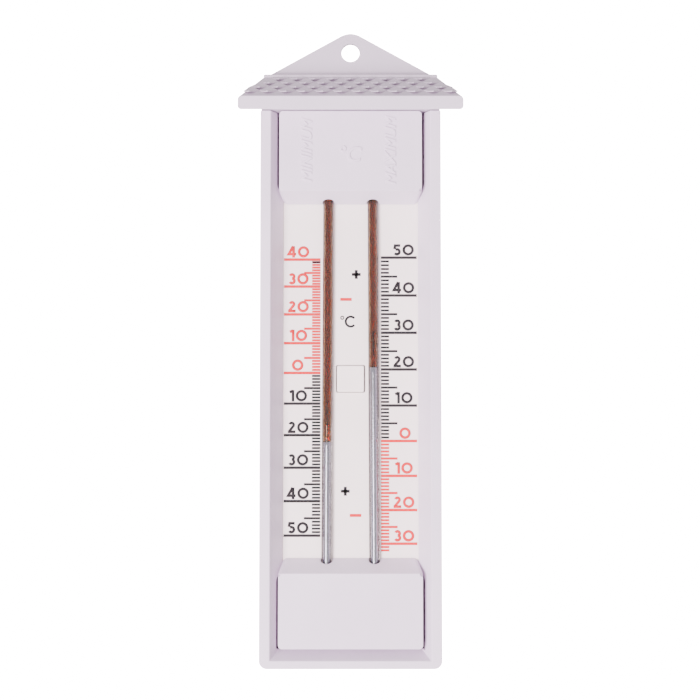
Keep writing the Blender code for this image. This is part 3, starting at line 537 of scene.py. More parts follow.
def plated_steel():
    finish = Finish("plated_steel", (0.58, 0.57, 0.55), 0.3, Metallic=1.0)
    cloud = finish.noise(0.7 * MM, 3)
    finish.tint(cloud, (0.50, 0.49, 0.47), (0.66, 0.65, 0.62))
    finish.wear(cloud, 0.22, 0.42)
    finish.bump(finish.noise(0.1 * MM, 2), 0.1, 0.01 * MM)
    return finish.material


def index_steel():
    """Blued steel in its dark glass sheath."""
    finish = Finish("index_steel", (0.03, 0.02, 0.018), 0.35, Metallic=0.4)
    cloud = finish.noise(0.4 * MM, 3, stretch=(1, 1, 4))
    finish.tint(cloud, (0.018, 0.010, 0.008), (0.05, 0.030, 0.024))
    finish.wear(cloud, 0.25, 0.45)
    return finish.material


def sintered_ferrite():
    finish = Finish("sintered_ferrite", (0.05, 0.05, 0.052), 0.7)
    grain = finish.noise(0.25 * MM, 4)
    finish.tint(grain, (0.035, 0.035, 0.037), (0.075, 0.073, 0.07))
    finish.wear(grain, 0.6, 0.85)
    finish.bump(grain, 0.3, 0.03 * MM)
    return finish.material


def natural_nylon():
    finish = Finish("natural_nylon", (0.72, 0.70, 0.64), 0.5)
    cloud = finish.noise(6 * MM, 3)
    finish.tint(cloud, (0.68, 0.66, 0.60), (0.75, 0.73, 0.67))
    finish.wear(finish.noise(0.6 * MM, 2), 0.42, 0.58)
    finish.bump(finish.noise(0.2 * MM, 2), 0.15, 0.02 * MM)
    return finish.material


def floor_finish():
    finish = Finish("pale_floor", (0.86, 0.86, 0.86), 0.7)
    cloud = finish.noise(90 * MM, 3)
    finish.tint(cloud, (0.85, 0.85, 0.85), (0.88, 0.88, 0.88))
    return finish.material


# ---- shared geometry ----


def leg_point(side, z):
    """A point on a leg's centreline: the legs spread towards the bend."""
    return Vector((SIDES[side] * (LEG_HALF_TOP + (TOP_OF_SCALE - z) * LEG_SPREAD), TUBE_Y, z))


def bezel_half(y):
    """Half the distance between the bezel's sloping faces at depth y."""
    return CASE_HIGH.x - RIM - (y - CASE_LOW.y) * BEZEL_RUN


def screw_places():
    """The screws' names and their X and Z, from their nodes."""
    places = {}
    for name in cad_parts:
        if "_screw_" in name:
            low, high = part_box(name)
            places[name] = ((low.x + high.x) / 2, (low.z + high.z) / 2)
    return dict(sorted(places.items()))


# ---- casing ----


def make_back(plastic):
    """Flat plate whose gabled top carries the hanging hole."""
    flat_top = TAB_RADIUS * math.tan(TAB_SLOPE / 2)
    shoulder = TAB_RADIUS - (BACK_HIGH.x - flat_top) * math.tan(TAB_SLOPE)
    low = (BACK_LOW.x, -BACK_THICK, BACK_LOW.z)
    back = block("back_panel", low, (BACK_HIGH.x, 0, shoulder))
    with editing(back):
        pick(back, "FACE", lambda f: f.normal.z > 0.9)
        rise = (0, 0, TAB_RADIUS - shoulder)
        extrude(rise)
        squeeze(flat_top / BACK_HIGH.x)
    round_corners(back, BACK_LOW.z, CASE_CORNER, 8)
    round_corners(back, TAB_RADIUS, 0.98 * flat_top, 8)
    cut(back, bar("hole", HANG_RADIUS, (0, REACH, 0), (0, -BACK_THICK - REACH, 0), 64))
    for x, z in screw_places().values():
        mouth, floor = (x, 0.1 * MM, z), (x, -SINK_DEPTH, z)
        cut(back, bar("sink", SINK_RADIUS, mouth, floor, 32, SHANK_RADIUS))
        cut(back, bar("shank", SHANK_RADIUS, (x, REACH, z), (x, -BACK_THICK - REACH, z), 32))
    for sign in SIDES.values():
        for z in EJECTOR_HEIGHTS:
            x = sign * EJECTOR_X
            cut(back, bar("ejector", EJECTOR_RADIUS, (x, REACH, z), (x, -EJECTOR_DEPTH, z), 40))
    clean(back)
    round_edges(back, 0.35 * MM, 2)
    for z in POST_HEIGHTS:
        fuse(back, bar("guide_post", POST_RADIUS, (0, -1 * MM, z), (0, BACK_LOW.y, z), 32))
    smooth(back)
    return finished(back, "casing", "shell", plastic, "back_plate")


def bezel_cutter():
    """The space inside the bezel: a block whose faces slope in with depth."""
    front, rear = CASE_LOW.y - REACH, SEAT + REACH
    sill = CASE_LOW.z + BOTTOM_RIM + (front - CASE_LOW.y) * BEZEL_RUN
    half = bezel_half(front)
    cutter = block("bezel", (-half, front, sill), (half, rear, CASE_HIGH.z + 2 * REACH))
    with editing(cutter):
        pick(cutter, "FACE", lambda f: f.normal.y > 0.9)
        squeeze(bezel_half(rear) / half)
        pick(
            cutter,
            "EDGE",
            lambda e: runs_along(e, 0)
            and e.verts[0].co.y > SEAT
            and e.verts[0].co.z < CASE_LOW.z / 2,
        )
        move_up((rear - front) * BEZEL_RUN)
    return cutter


def pocket_cutter(name, low_z, high_z, round_at):
    """The opening for a cover, with round corners at the heights in round_at."""
    half = TOP_HIGH.x + AIR_SLOT
    low, high = (-half, CASE_LOW.y - REACH, low_z), (half, SEAT + REACH, high_z)
    cutter = block(name, low, high)
    for z in round_at:
        round_corners(cutter, z, POCKET_CORNER, 8)
    return cutter


def make_case(plastic):
    case = block("case_shell", CASE_LOW, CASE_HIGH + Vector((0, 0, SOFFIT_RISE)))
    round_corners(case, CASE_LOW.z, CASE_CORNER, 8)
    inner = CASE_HIGH.x - WALL
    low, high = (-inner, SEAT, CASE_LOW.z + WALL), (inner, REACH, CASE_HIGH.z + REACH)
    top_end = TOP_LOW.z + TOP_SLOPE
    bottom_end = BOTTOM_HIGH.z - BOTTOM_SLOPE
    sill = BOTTOM_LOW.z - SILL_CLEAR
    cut(
        case,
        bezel_cutter(),
        block("cavity", low, high),
        pocket_cutter("top_pocket", top_end - POCKET_GAP, CASE_HIGH.z + REACH, [top_end - POCKET_GAP]),
        pocket_cutter("bottom_pocket", sill, bottom_end + POCKET_GAP, [bottom_end + POCKET_GAP]),
    )
    clean(case)
    round_edges(case, 0.5 * MM, 3)
    smooth(case)
    return finished(case, "casing", "shell", plastic, "case_front")


def make_cover(name, near_z, far_z, slope, plastic, node):
    """A shell with a flat face and a sloping end, where the glass comes out.

    near_z is the height of the sloping end's edge at the scale, far_z that of the other end.
    """
    half, front = TOP_HIGH.x, TOP_LOW.y
    up = math.copysign(1, far_z - near_z)
    face_end = near_z + up * slope
    low, high = (-half, front, min(near_z, far_z)), (half, COVER_REAR, max(near_z, far_z))
    cover = block(name, low, high)
    with editing(cover):
        for place, normal in (((0, SEAT, 0), (0, 1, 0)), ((0, 0, face_end), (0, 0, 1))):
            slice_at(place, normal)
        pick(cover, "VERT", lambda v: near(v.co.z, near_z) and v.co.y < SEAT - MM)
        move_up(up * slope)
        pick(cover, "VERT", lambda v: near(v.co.z, near_z))
        squeeze((bezel_half(SEAT) - POCKET_GAP) / half)
    clean(cover)
    with editing(cover):
        pick(cover, "FACE", lambda f: f.normal.y < -0.99)
        bpy.ops.mesh.inset(thickness=PANEL_FRAME, depth=0)
        bpy.ops.mesh.inset(thickness=0.6 * MM, depth=-0.14 * MM)
    round_corners(cover, far_z, FAR_CORNER, 5)
    slope_run = (face_end, near_z)
    bevel_edges(
        cover,
        lambda e: abs(e.verts[0].co.x) > half - 2 * MM
        and not any(runs_along(e, axis) for axis in range(3))
        and all(min(slope_run) - MM < v.co.z < max(slope_run) + MM for v in e.verts)
        and abs(e.verts[0].co.y - e.verts[1].co.y) > MM,
        COVER_CORNER,
        6,
    )
    round_edges(cover, COVER_EDGE, 4, angle=35)
    inner = half - COVER_WALL
    ends = sorted((face_end + up * COVER_WALL, far_z - up * COVER_WALL))
    toe = sorted((near_z - up * REACH, face_end + up * COVER_WALL))
    cut(
        cover,
        block("inside", (-inner, front + COVER_WALL, ends[0]), (inner, REACH, ends[1])),
        block("toe", (-half - REACH, SEAT, toe[0]), (half + REACH, REACH, toe[1])),
    )
    for side in SIDES:
        start = leg_point(side, near_z - up * REACH)
        end = leg_point(side, face_end + up * REACH)
        cut(cover, bar("tube_hole", TUBE_RADIUS + POCKET_GAP, start, end, 64))
    clean(cover)
    smooth(cover)
    return finished(cover, "casing", "shell", plastic, node)


# ---- drawn marks ----


def arc(centre, radius, start, end, steps=20):
    """Points on a circle, from angle start to angle end in degrees."""
    angles = [math.radians(start + (end - start) * i / steps) for i in range(steps + 1)]
    return [(centre[0] + radius * math.cos(a), centre[1] + radius * math.sin(a)) for a in angles]


def drawn(name, lines, stroke, thick):
    """A flat mark in X and Y drawn with a pen of one width; each line is (points, closed)."""
    strokes = []
    for i, (points, closed) in enumerate(lines):
        curve = bpy.data.curves.new(name, "CURVE")
        curve.dimensions = "3D"
        curve.extrude = thick / 2 * (1 + STROKE_STEP * i)
        spline = curve.splines.new("POLY")
        spline.points.add(len(points) - 1)
        for point, (x, y) in zip(spline.points, points):
            point.co = (x, y, 0, 1)
        spline.use_cyclic_u = closed
        only(linked(name, curve))
        bpy.ops.object.convert(target="MESH")
        line = bpy.context.object
        modify(line, "SOLIDIFY", thickness=stroke, offset=0, use_even_offset=True)
        strokes.append(line)
    mark = join(name, strokes)
    with editing(mark):
        merge_doubles(1e-5)
        look_outwards()
    return mark


def facing_reader(x, y, z, turn=0.0):
    """Puts a flat drawing, made in X and Y, on the plane at depth y, turned about its own middle."""
    upright = Matrix.Rotation(math.radians(90), 4, "X")
    return Matrix.Translation((x, y, z)) @ upright @ Matrix.Rotation(turn, 4, "Z")


def make_relief_word(word, x, z, height, turn=0.0, slant=0.28):
    """A raised word with sloping edges, centred at X and Z."""
    bpy.ops.object.select_all(action="DESELECT")
    bpy.ops.object.text_add()
    text = bpy.context.object
    text.data.body = word
    text.data.size = height / CAPITAL_SHARE
    text.data.shear = slant
    text.data.align_x = "CENTER"
    text.data.align_y = "CENTER"
    text.data.extrude = RELIEF
    text.data.offset = -0.1 * MM
    text.data.bevel_depth = RELIEF_EDGE
    text.data.bevel_resolution = 1
    text.data.resolution_u = 4
    bpy.ops.object.convert(target="MESH")
    text = bpy.context.object
    text.data.transform(facing_reader(x, TOP_LOW.y, z, turn))
    return text


def make_relief(plastic):
    """MINIMUM and MAXIMUM above the tubes that they belong to, and the unit between them."""
    middle = (TOP_HIGH.z + TOP_LOW.z + TOP_SLOPE) / 2 - MM
    upwards = math.radians(90)
    words = [
        make_relief_word("MINIMUM", -15.6 * MM, middle + 1.4 * MM, 3.8 * MM, upwards),
        make_relief_word("MAXIMUM", 14.6 * MM, middle + 1.4 * MM, 3.8 * MM, upwards),
        make_relief_word("\u00b0C", -0.6 * MM, middle, 5.6 * MM, 0.0, 0.15),
    ]
    relief = join("top_cover_relief", words)
    with editing(relief):
        merge_doubles(1e-6)
    smooth(relief)
    return finished(relief, "casing", "shell", plastic)


def numeral_lines():
    """Centrelines of the digits 0 to 5, one unit high with a pen of PEN, and each one's width."""
    low, high = PEN / 2, 1 - PEN / 2
    bowl = 0.29 - PEN / 2
    wide = 0.68
    mid = wide / 2
    top_bowl = (mid, high - bowl)
    foot = 0.335 - PEN / 2
    low_bowl = (mid - 0.01, low + foot)
    upper, lower = 0.235 * (1 - PEN), 0.265 * (1 - PEN)
    return {
        "0": ([(arc((0.5, 0.5), 0.5 - PEN / 2, 0, 350, 35), True)], 1.0),
        "1": ([([(0.02, 0.80), (0.30, 0.93)], False), ([(0.31, 1.0), (0.31, 0.0)], False)], 0.41),
        "2": (
            [
                (arc(top_bowl, bowl, 165, -38, 16) + [(0.10, low + 0.02)], False),
                ([(0.0, low), (wide - 0.02, low)], False),
            ],
            wide,
        ),
        "3": (
            [
                (arc((mid - 0.02, high - upper), upper, 158, -90, 16), False),
                (arc((mid - 0.02, low + lower), lower, 90, -158, 18), False),
            ],
            wide - 0.04,
        ),
        "4": (
            [
                ([(0.46, 1.0), (0.08, 0.30), (wide + 0.04, 0.30)], False),
                ([(0.50, 1.0), (0.50, 0.0)], False),
            ],
            wide + 0.06,
        ),
        "5": (
            [
                ([(wide - 0.06, high), (0.17, high), (0.115, 0.56)], False),
                (arc(low_bowl, foot, 128, -150, 18), False),
            ],
            wide,
        ),
    }


def make_scale_print(black, red):
    """Two scales of ticks with their numbers, and the signs between the tubes."""
    ink_place = PLATE_LOW.y - INK / 2
    digits = {}
    for digit, (lines, width) in numeral_lines().items():
        shape = drawn(f"digit_{digit}", lines, PEN, 2 * INK / NUMERAL_HEIGHT)
        digits[digit] = (shape, width * NUMERAL_HEIGHT)
    marks = {"black": [], "red": []}

    def stamp(source, colour, x, z, size=1.0):
        place = facing_reader(x, ink_place, z) @ Matrix.Scale(size, 4)
        marks[colour].append(copy_of(source, place))

    def write(number, colour, middle, z):
        """A number centred at middle and standing at height z."""
        widths = [digits[d][1] for d in number]
        x = middle - (sum(widths) + NUMERAL_SPACE * (len(number) - 1)) / 2
        for digit, width in zip(number, widths):
            stamp(digits[digit][0], colour, x, z, NUMERAL_HEIGHT)
            x += width + NUMERAL_SPACE

    def dash(colour, x0, x1, z0, z1):
        low, high = (min(x0, x1), PLATE_LOW.y - INK, z0), (max(x0, x1), PLATE_LOW.y + INK, z1)
        marks[colour].append(block("tick", low, high))

    for scale in (MINIMUM_SCALE, MAXIMUM_SCALE):
        for degree in range(scale["lowest"], scale["highest"] + 1):
            step = abs(degree - scale["top"])
            z = (scale["start"] - scale["step"] * step - scale["growth"] * step * step) * MM
            colour = "red" if degree <= 0 else "black"
            kind = 0 if degree % 10 == 0 else 1 if degree % 5 == 0 else 2
            outer = scale["outer"][kind] * MM
            half = TICK_WIDTHS[kind] / 2
            dash(colour, scale["inner"] * MM, outer, z - half, z + half)
            if degree in scale["numbers"]:
                middle = scale["middle"] if degree else scale["zero_middle"]
                write(str(abs(degree)), colour, middle * MM, z + NUMERAL_LIFT)
    half = SIGN_STROKE / 2
    for colour, x, z, arm in SIGNS:
        dash(colour, (x - arm) * MM, (x + arm) * MM, z * MM - half, z * MM + half)
        if colour == "black":
            dash(colour, x * MM - half, x * MM + half, (z - arm) * MM, (z + arm) * MM)
    unit = (
        ([(arc((0, 0), 0.5 - 0.09, 42, 318, 30), False)], 0.185, 4.4 * MM, UNIT_X, UNIT_Z),
        ([(arc((0, 0), 0.36, 0, 345, 23), True)], 0.28, 1.5 * MM, RING_X, RING_Z),
    )
    for lines, pen, height, x, z in unit:
        mark = drawn("unit", lines, pen, 2 * INK / height)
        mark.data.transform(facing_reader(x, ink_place, z) @ Matrix.Scale(height, 4))
        marks["black"].append(mark)
    for shape, _ in digits.values():
        bpy.data.objects.remove(shape, do_unlink=True)
    for colour, ink in (("black", black), ("red", red)):
        print_layer = join(f"scale_print_{colour}", marks[colour])
        finished(print_layer, "casing", "scale", ink)


# ---- roof ----


def roof_angle():
    return math.atan2(ROOF_HIGH.z - EAVE_Z, -RIDGE_FLAT - ROOF_LOW.y)


def roof_slab(name, inset, top_drop, bottom_drop):
    """A slab that follows the roof's slope, between two depths under its surface."""
    half, front, rear = ROOF_HIGH.x, ROOF_LOW.y, ROOF_HIGH.y
    low, high = (-half, front, SOFFIT - REACH), (half, rear, ROOF_HIGH.z)
    shape = block(name, low, high)
    with editing(shape):
        slice_at((0, -RIDGE_FLAT, 0), (0, 1, 0))
        pick(shape, "VERT", lambda v: v.co.y > -RIDGE_FLAT - MM)
        squeeze(RIDGE_HALF / half)
        for level, drop in ((high[2], top_drop), (low[2], bottom_drop)):
            pick(shape, "VERT", lambda v: near(v.co.z, level) and v.co.y < front + MM)
            move_up(EAVE_Z - drop - level)
            pick(shape, "VERT", lambda v: near(v.co.z, level) and v.co.y > front + MM)
            move_up(ROOF_HIGH.z - drop - level)
        if inset:
            select_whole()
            squeeze((half - inset) / half)
            bpy.ops.transform.translate(value=(0, inset, 0))
    return shape


def under_roof(name, half, front, rear, drop, floor):
    """The space from a floor up to drop under the roof's surface."""
    surface = EAVE_Z + (front - ROOF_LOW.y) * math.tan(roof_angle())
    shape = block(name, (-half, front, floor), (half, rear, ROOF_HIGH.z))
    with editing(shape):
        slice_at((0, -RIDGE_FLAT, 0), (0, 1, 0))
        pick(shape, "VERT", lambda v: near(v.co.z, ROOF_HIGH.z) and v.co.y < -RIDGE_FLAT - MM)
        move_up(surface - ROOF_HIGH.z)
        pick(shape, "VERT", lambda v: v.co.z > floor + MM)
        move_up(-drop)
    return shape


def make_roof(plastic):
    """Sloping slab with a lip all round, and the hollow box under it that closes the case."""
    thick = EAVE_Z - SOFFIT
    roof = roof_slab("roof_shell", 0, SLATE_BED, thick + ROOF_LIP)
    bevel_edges(
        roof,
        lambda e: abs(e.verts[0].co.x) > RIDGE_HALF - MM
        and not any(runs_along(e, axis) for axis in (0, 2)),
        1.2 * MM,
        4,
    )
    round_edges(roof, 0.6 * MM, 3, angle=22)
    cut(roof, roof_slab("hollow", ROOF_WALL, ROOF_WALL + SLATE_BED, thick + 3 * REACH))
    half, rear = CASE_HIGH.x - 0.3 * MM, ROOF_HIGH.y
    front = ROOF_LOW.y + ROOF_WALL / 2
    drop = SLATE_BED + ROOF_WALL / 2
    fuse(roof, under_roof("box", half, front, rear, drop, SOFFIT + SOFFIT_RISE))
    inside = half - ROOF_WALL
    front += ROOF_WALL / 2
    drop += ROOF_WALL / 2
    cut(roof, under_roof("room", inside, front, REACH, drop, SOFFIT + SOFFIT_RISE + ROOF_WALL))
    clean(roof)
    smooth(roof)
    return finished(roof, "casing", "shell", plastic, "roof")


def make_slate():
    """One diamond slate, lying in X and Y with its lifted tip at -Y and its middle at the origin."""
    length = 2 * SLATE_STEP
    add, turn = bpy.ops.mesh.primitive_plane_add, (0, 0, math.radians(45))
    slate = primitive("slate", add, size=math.sqrt(0.5), rotation=turn)
    with editing(slate):
        select_whole()
        bpy.ops.transform.resize(value=(SLATE_PITCH, length, 1), center_override=(0, 0, 0))
        levels = [-0.04, -0.14, -0.24, -0.34, -0.42]
        for level in levels:
            slice_at((0, level * length, 0), (0, 1, 0))
        for level in levels[1:] + [-0.5]:
            lift = SLATE_LIFT * (-2 * level) ** 1.7
            pick(slate, "VERT", lambda v: abs(v.co.y - level * length) < 0.02 * MM)
            move_up(lift)
    modify(slate, "SOLIDIFY", thickness=SLATE_THICK, offset=-1, use_even_offset=False)
    round_edges(slate, 0.08 * MM, 1, angle=50)
    return slate


def make_slates(plastic):
    """Rows of slates from the eave to the ridge, each row half a slate out of step with the next."""
    angle = roof_angle()
    eave = Matrix.Translation((0, ROOF_LOW.y, EAVE_Z - SLATE_BED)) @ Matrix.Rotation(angle, 4, "X")
    slate = make_slate()
    slates = []
    for row in range(SLATE_ROWS):
        count = SLATES_IN_TOP_ROW + SLATE_ROWS - 1 - row
        up = SLATE_START + SLATE_STEP * (row + 1)
        for i in range(count):
            x = (i - (count - 1) / 2) * SLATE_PITCH
            slates.append(copy_of(slate, eave @ Matrix.Translation((x, up, SLATE_PROUD))))
    bpy.data.objects.remove(slate, do_unlink=True)
    field = join("roof_slates", slates)
    run = (ROOF_HIGH.x - RIDGE_HALF) / (-RIDGE_FLAT - ROOF_LOW.y)
    with editing(field):
        edge = ROOF_HIGH.x - SLATE_INSET
        trims = [((sign * edge, ROOF_LOW.y, 0), (sign, run, 0)) for sign in SIDES.values()]
        trims.append(((0, -RIDGE_FLAT - SLATE_TUCK, 0), (0, 1, 0)))
        for place, normal in trims:
            slice_at(place, normal, use_fill=True, clear_outer=True)
    smooth(field, 40)
    return finished(field, "casing", "shell", plastic)


def make_ridge(plastic):
    """Smooth board along the top of the roof, above the last row of slates."""
    front = -RIDGE_FLAT - 2.6 * MM
    low = (-RIDGE_HALF, front, ROOF_HIGH.z - 1.6 * MM)
    high = (RIDGE_HALF, ROOF_HIGH.y - 0.02 * MM, ROOF_HIGH.z)
    ridge = block("roof_ridge", low, high)
    with editing(ridge):
        pick(ridge, "EDGE", lambda e: runs_along(e, 0) and near(e.verts[0].co.y, front))
        move_up(-0.9 * MM)
    round_edges(ridge, 0.5 * MM, 3)
    smooth(ridge)
    return finished(ridge, "casing", "shell", plastic)


# ---- scale plate ----


def make_scale(enamel):
    """Printed plate with a groove for each leg and a window for the button."""
    plate = block("scale_panel", PLATE_LOW, PLATE_HIGH)
    neck_top, neck_bottom = TOP_OF_SCALE + PLATE_TUCK, BOTTOM_OF_SCALE - PLATE_TUCK
    step = 2 * MM
    with editing(plate):
        for z in (neck_top, neck_top - step, neck_bottom + step, neck_bottom):
            slice_at((0, 0, z), (0, 0, 1))
        pick(plate, "VERT", lambda v: v.co.z > neck_top - MM or v.co.z < neck_bottom + MM)
        squeeze((PLATE_HIGH.x - step) / PLATE_HIGH.x)
    for side in SIDES:
        start, end = leg_point(side, PLATE_LOW.z - REACH), leg_point(side, PLATE_HIGH.z + REACH)
        cut(plate, bar("groove", TUBE_RADIUS + 0.15 * MM, start, end, 96))
    side_gap, end_gap = 0.38 * MM, 0.2 * MM
    low = (BUTTON_LOW.x - side_gap, PLATE_LOW.y - REACH, BUTTON_LOW.z - end_gap)
    high = (BUTTON_HIGH.x + side_gap, PLATE_HIGH.y + REACH, BUTTON_HIGH.z + end_gap)
    window = block("window", low, high)
    bevel_edges(window, lambda e: runs_along(e, 1), 0.7 * MM, 4)
    cut(plate, window)
    clean(plate)
    round_edges(plate, 0.12 * MM, 2, angle=40)
    smooth(plate)
    return finished(plate, "casing", "scale", enamel, "scale_plate")


def make_button(enamel):
    """Square button, a little hollowed for the finger, with the stem and the peg behind it."""
    plate_rear = PLATE_HIGH.y
    low, high = BUTTON_LOW.copy(), BUTTON_HIGH.copy()
    high.y = plate_rear
    button = block("push_button", low, high)
    with editing(button):
        pick(button, "FACE", lambda f: f.normal.y < -0.9)
        bpy.ops.mesh.inset(thickness=1.0 * MM, depth=0)
        bpy.ops.mesh.inset(thickness=1.4 * MM, depth=-0.14 * MM)
        bpy.ops.mesh.inset(thickness=1.3 * MM, depth=-0.05 * MM)
    bevel_edges(button, lambda e: runs_along(e, 1), 0.7 * MM, 4)

    def on_rim(edge):
        """True between the button's face and its side."""
        looks = sorted(face.normal.y for face in edge.link_faces)
        return (
            all(near(v.co.y, low.y) for v in edge.verts)
            and max(abs(v.co.x) for v in edge.verts) > high.x - 0.8 * MM
            and len(looks) == 2
            and looks[0] < -0.99
            and looks[1] > -0.5
        )

    bevel_edges(button, on_rim, 0.35 * MM, 3)
    middle = (low.z + high.z) / 2
    for half, front, rear in (
        (STEM_HALF, plate_rear - MM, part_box("magnet_carrier")[0].y - 0.1 * MM),
        (PEG_HALF, plate_rear - MM, BUTTON_HIGH.y),
    ):
        fuse(button, block("stem", (-half, front, middle - half), (half, rear, middle + half)))
    smooth(button)
    return finished(button, "reset", "scale", enamel, "reset_button")


# ---- glass, liquids and indices ----


def ring_at(name, point, along, radius, sides, fill="NOTHING"):
    """A circle primitive around a point, square to a direction."""
    return primitive(
        name,
        bpy.ops.mesh.primitive_circle_add,
        vertices=sides,
        radius=radius,
        location=point,
        rotation=along.to_track_quat("Z", "Y").to_euler(),
        fill_type=fill,
    )


def close_ends(obj):
    """Fills the open ends of a tube."""
    with editing(obj):
        pick(obj, "EDGE", lambda e: e.is_boundary)
        bpy.ops.mesh.edge_face_add()
        look_outwards()


def leg_step(side, rise):
    """The move along a leg that goes up by rise."""
    return leg_point(side, rise) - leg_point(side, 0)


def swept_u(name, radius, top_z, rings, sides=56):
    """An open skin round the U: down the left leg, round the bend and up the right leg."""
    left, right = leg_point("left", BEND_START), leg_point("right", BEND_START)
    top = leg_point("left", top_z)
    skin = ring_at(name, top, leg_step("left", -1), radius, sides)
    with editing(skin):
        select_whole()
        for _ in range(rings):
            step = (left - top) / rings
            extrude(step)
        bpy.ops.mesh.spin(
            steps=48, angle=math.pi, center=(0, TUBE_Y, BEND_START), axis=(0, 1, 0)
        )
        end = leg_point("right", top_z)
        for _ in range(rings):
            step = (end - right) / rings
            extrude(step)
        merge_doubles(1e-6)
        look_outwards()
    return skin


def make_tube(glass):
    tube = swept_u("glass_capillary", TUBE_RADIUS, TUBE_HIGH.z, 24)
    modify(tube, "SOLIDIFY", thickness=TUBE_RADIUS - BORE_RADIUS, offset=-1)
    smooth(tube, 60)
    return finished(tube, "casing", "glass", glass, "capillary_tube")


def make_bend_mercury(mercury):
    """The mercury that always fills the bend, below both threads."""
    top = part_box("mercury_bend")[1].z
    fill = swept_u("bend_mercury", LIQUID_RADIUS, top, 2, 32)
    close_ends(fill)
    smooth(fill, 50)
    return finished(fill, "casing", "mercury", mercury, "mercury_bend")


def make_thread(name, side, foot, top, dome):
    """A column of liquid in a leg, ringed along its length, with a domed top where dome is set."""
    rings = 40
    direction = leg_step(side, 1).normalized()
    column = ring_at(name, leg_point(side, foot), direction, LIQUID_RADIUS, 32, "NGON")
    with editing(column):
        select_whole()
        for _ in range(rings):
            step = leg_step(side, (top - foot) / rings)
            extrude(step)
        for i in range(1, 5 if dome else 1):
            before, after = math.radians(20 * (i - 1)), math.radians(20 * i)
            rise = dome * (math.sin(after) - math.sin(before))
            shrink = math.cos(after) / math.cos(before)
            here = leg_point(side, top + dome * math.sin(after))
            extrude(leg_step(side, rise))
            bpy.ops.transform.resize(value=(shrink,) * 3, center_override=here)
        look_outwards()
    smooth(column, 50)
    return column


def make_liquids(mercury, spirit):
    """Both mercury threads stand on the full bend, and a spirit thread fills each leg above its
    mercury.
    """
    for extreme, side in (("minimum", "left"), ("maximum", "right")):
        low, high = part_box(f"{extreme}_mercury_column")
        hidden_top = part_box(f"{extreme}_spirit_column")[1].z
        meniscus = high.z - MENISCUS
        thread = make_thread(f"{extreme}_mercury_thread", side, low.z, meniscus, MENISCUS)
        thread.data.materials.append(mercury)
        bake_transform(thread)
        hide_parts(f"{extreme}_mercury_column")
        thread = make_thread(f"{extreme}_spirit_thread", side, meniscus, hidden_top, 0)
        thread.data.materials.append(spirit)
        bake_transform(thread)
        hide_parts(f"{extreme}_spirit_column")


def make_index(extreme, side, steel):
    """A steel pin that swells into a bead at each end; the beads, glass on the real index, keep the
    pin's finish here.
    """
    low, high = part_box(f"{extreme}_index")
    direction = leg_step(side, 1).normalized()
    tip = 0.05 * MM
    profile = [
        (0.12, 0.03), (0.2, 0.1), (0.27, 0.2), (0.3, 0.36), (0.27, 0.52), (0.22, 0.66), (0.21, 0.9)
    ]
    pin = ring_at(f"{extreme}_index_pin", leg_point(side, low.z), direction, tip, 20, "NGON")
    stations = [(r * MM, low.z + h * MM) for r, h in profile]
    stations += [(r * MM, high.z - h * MM) for r, h in reversed(profile)]
    stations.append((tip, high.z))
    radius, height = tip, low.z
    with editing(pin):
        select_whole()
        for next_radius, z in stations:
            step = leg_step(side, z - height)
            extrude(step)
            size = (next_radius / radius,) * 3
            bpy.ops.transform.resize(value=size, center_override=leg_point(side, z))
            radius, height = next_radius, z
        look_outwards()
    smooth(pin, 60)
    return finished(pin, f"{extreme}_index", "index", steel, f"{extreme}_index")


# ---- fasteners and spring ----


def make_screws(steel):
    """Countersunk screws with a cross recess, driven from the wall side."""
    profile = [(2.0, 0.1), (2.1, 0.3), (1.15, 1.4), (1.15, 6.4), (0.08, 7.9)]
    radius, depth = profile[0][0], 0.0
    add = bpy.ops.mesh.primitive_circle_add
    model = primitive("screw", add, vertices=32, radius=radius * MM, fill_type="NGON")
    with editing(model):
        select_whole()
        for next_radius, next_depth in profile[1:]:
            step = (0, 0, (next_depth - profile[0][1] - depth) * MM)
            extrude(step)
            here = (0, 0, (next_depth - profile[0][1]) * MM)
            size = (next_radius / radius, next_radius / radius, 1)
            bpy.ops.transform.resize(value=size, center_override=here)
            radius, depth = next_radius, next_depth - profile[0][1]
        look_outwards()
    for half_x, half_y in ((1.15, 0.24), (0.24, 1.15)):
        low = (-half_x * MM, -half_y * MM, -REACH)
        high = (half_x * MM, half_y * MM, 0.75 * MM)
        slot = block("slot", low, high)
        with editing(slot):
            pick(slot, "FACE", lambda f: f.normal.z > 0.9)
            bpy.ops.transform.resize(value=(0.5, 0.5, 1), center_override=(0, 0, high[2]))
        cut(model, slot)
    clean(model)
    round_edges(model, 0.06 * MM, 2, angle=30)
    smooth(model)
    into_wall = Matrix.Rotation(math.radians(90), 4, "X")
    for name, (x, z) in screw_places().items():
        turn = Matrix.Rotation(math.radians(37) * len(name), 4, "Z")
        place = Matrix.Translation((x, -profile[0][1] * MM, z)) @ into_wall @ turn
        screw = copy_of(model, place)
        screw.name = screw.data.name = name.replace("_screw_", "_fixing_")
        finished(screw, "casing", "steel", steel, name)
    bpy.data.objects.remove(model, do_unlink=True)


def make_spring(steel):
    """Coil behind the carrier, of one fixed length; the real one closes up as the button is pressed.
    """
    wire, radius, turns = 0.25 * MM, 3.35 * MM, 3
    middle = (SPRING_LOW.z + SPRING_HIGH.z) / 2
    length = SPRING_HIGH.y - SPRING_LOW.y - 2 * wire
    add, place, turn = bpy.ops.mesh.primitive_circle_add, (radius, 0, 0), (math.radians(90), 0, 0)
    spring = primitive("spring_coil", add, vertices=12, radius=wire, location=place, rotation=turn)
    modify(
        spring, "SCREW", angle=2 * math.pi * turns, screw_offset=length, steps=40 * turns,
        render_steps=40 * turns, axis="Z",
    )
    close_ends(spring)
    rear = Matrix.Translation((0, SPRING_HIGH.y - wire, middle))
    spring.data.transform(rear @ Matrix.Rotation(math.radians(90), 4, "X"))
    smooth(spring, 50)
    finished(spring, "casing", "steel", steel, "return_spring")
    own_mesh(spring)


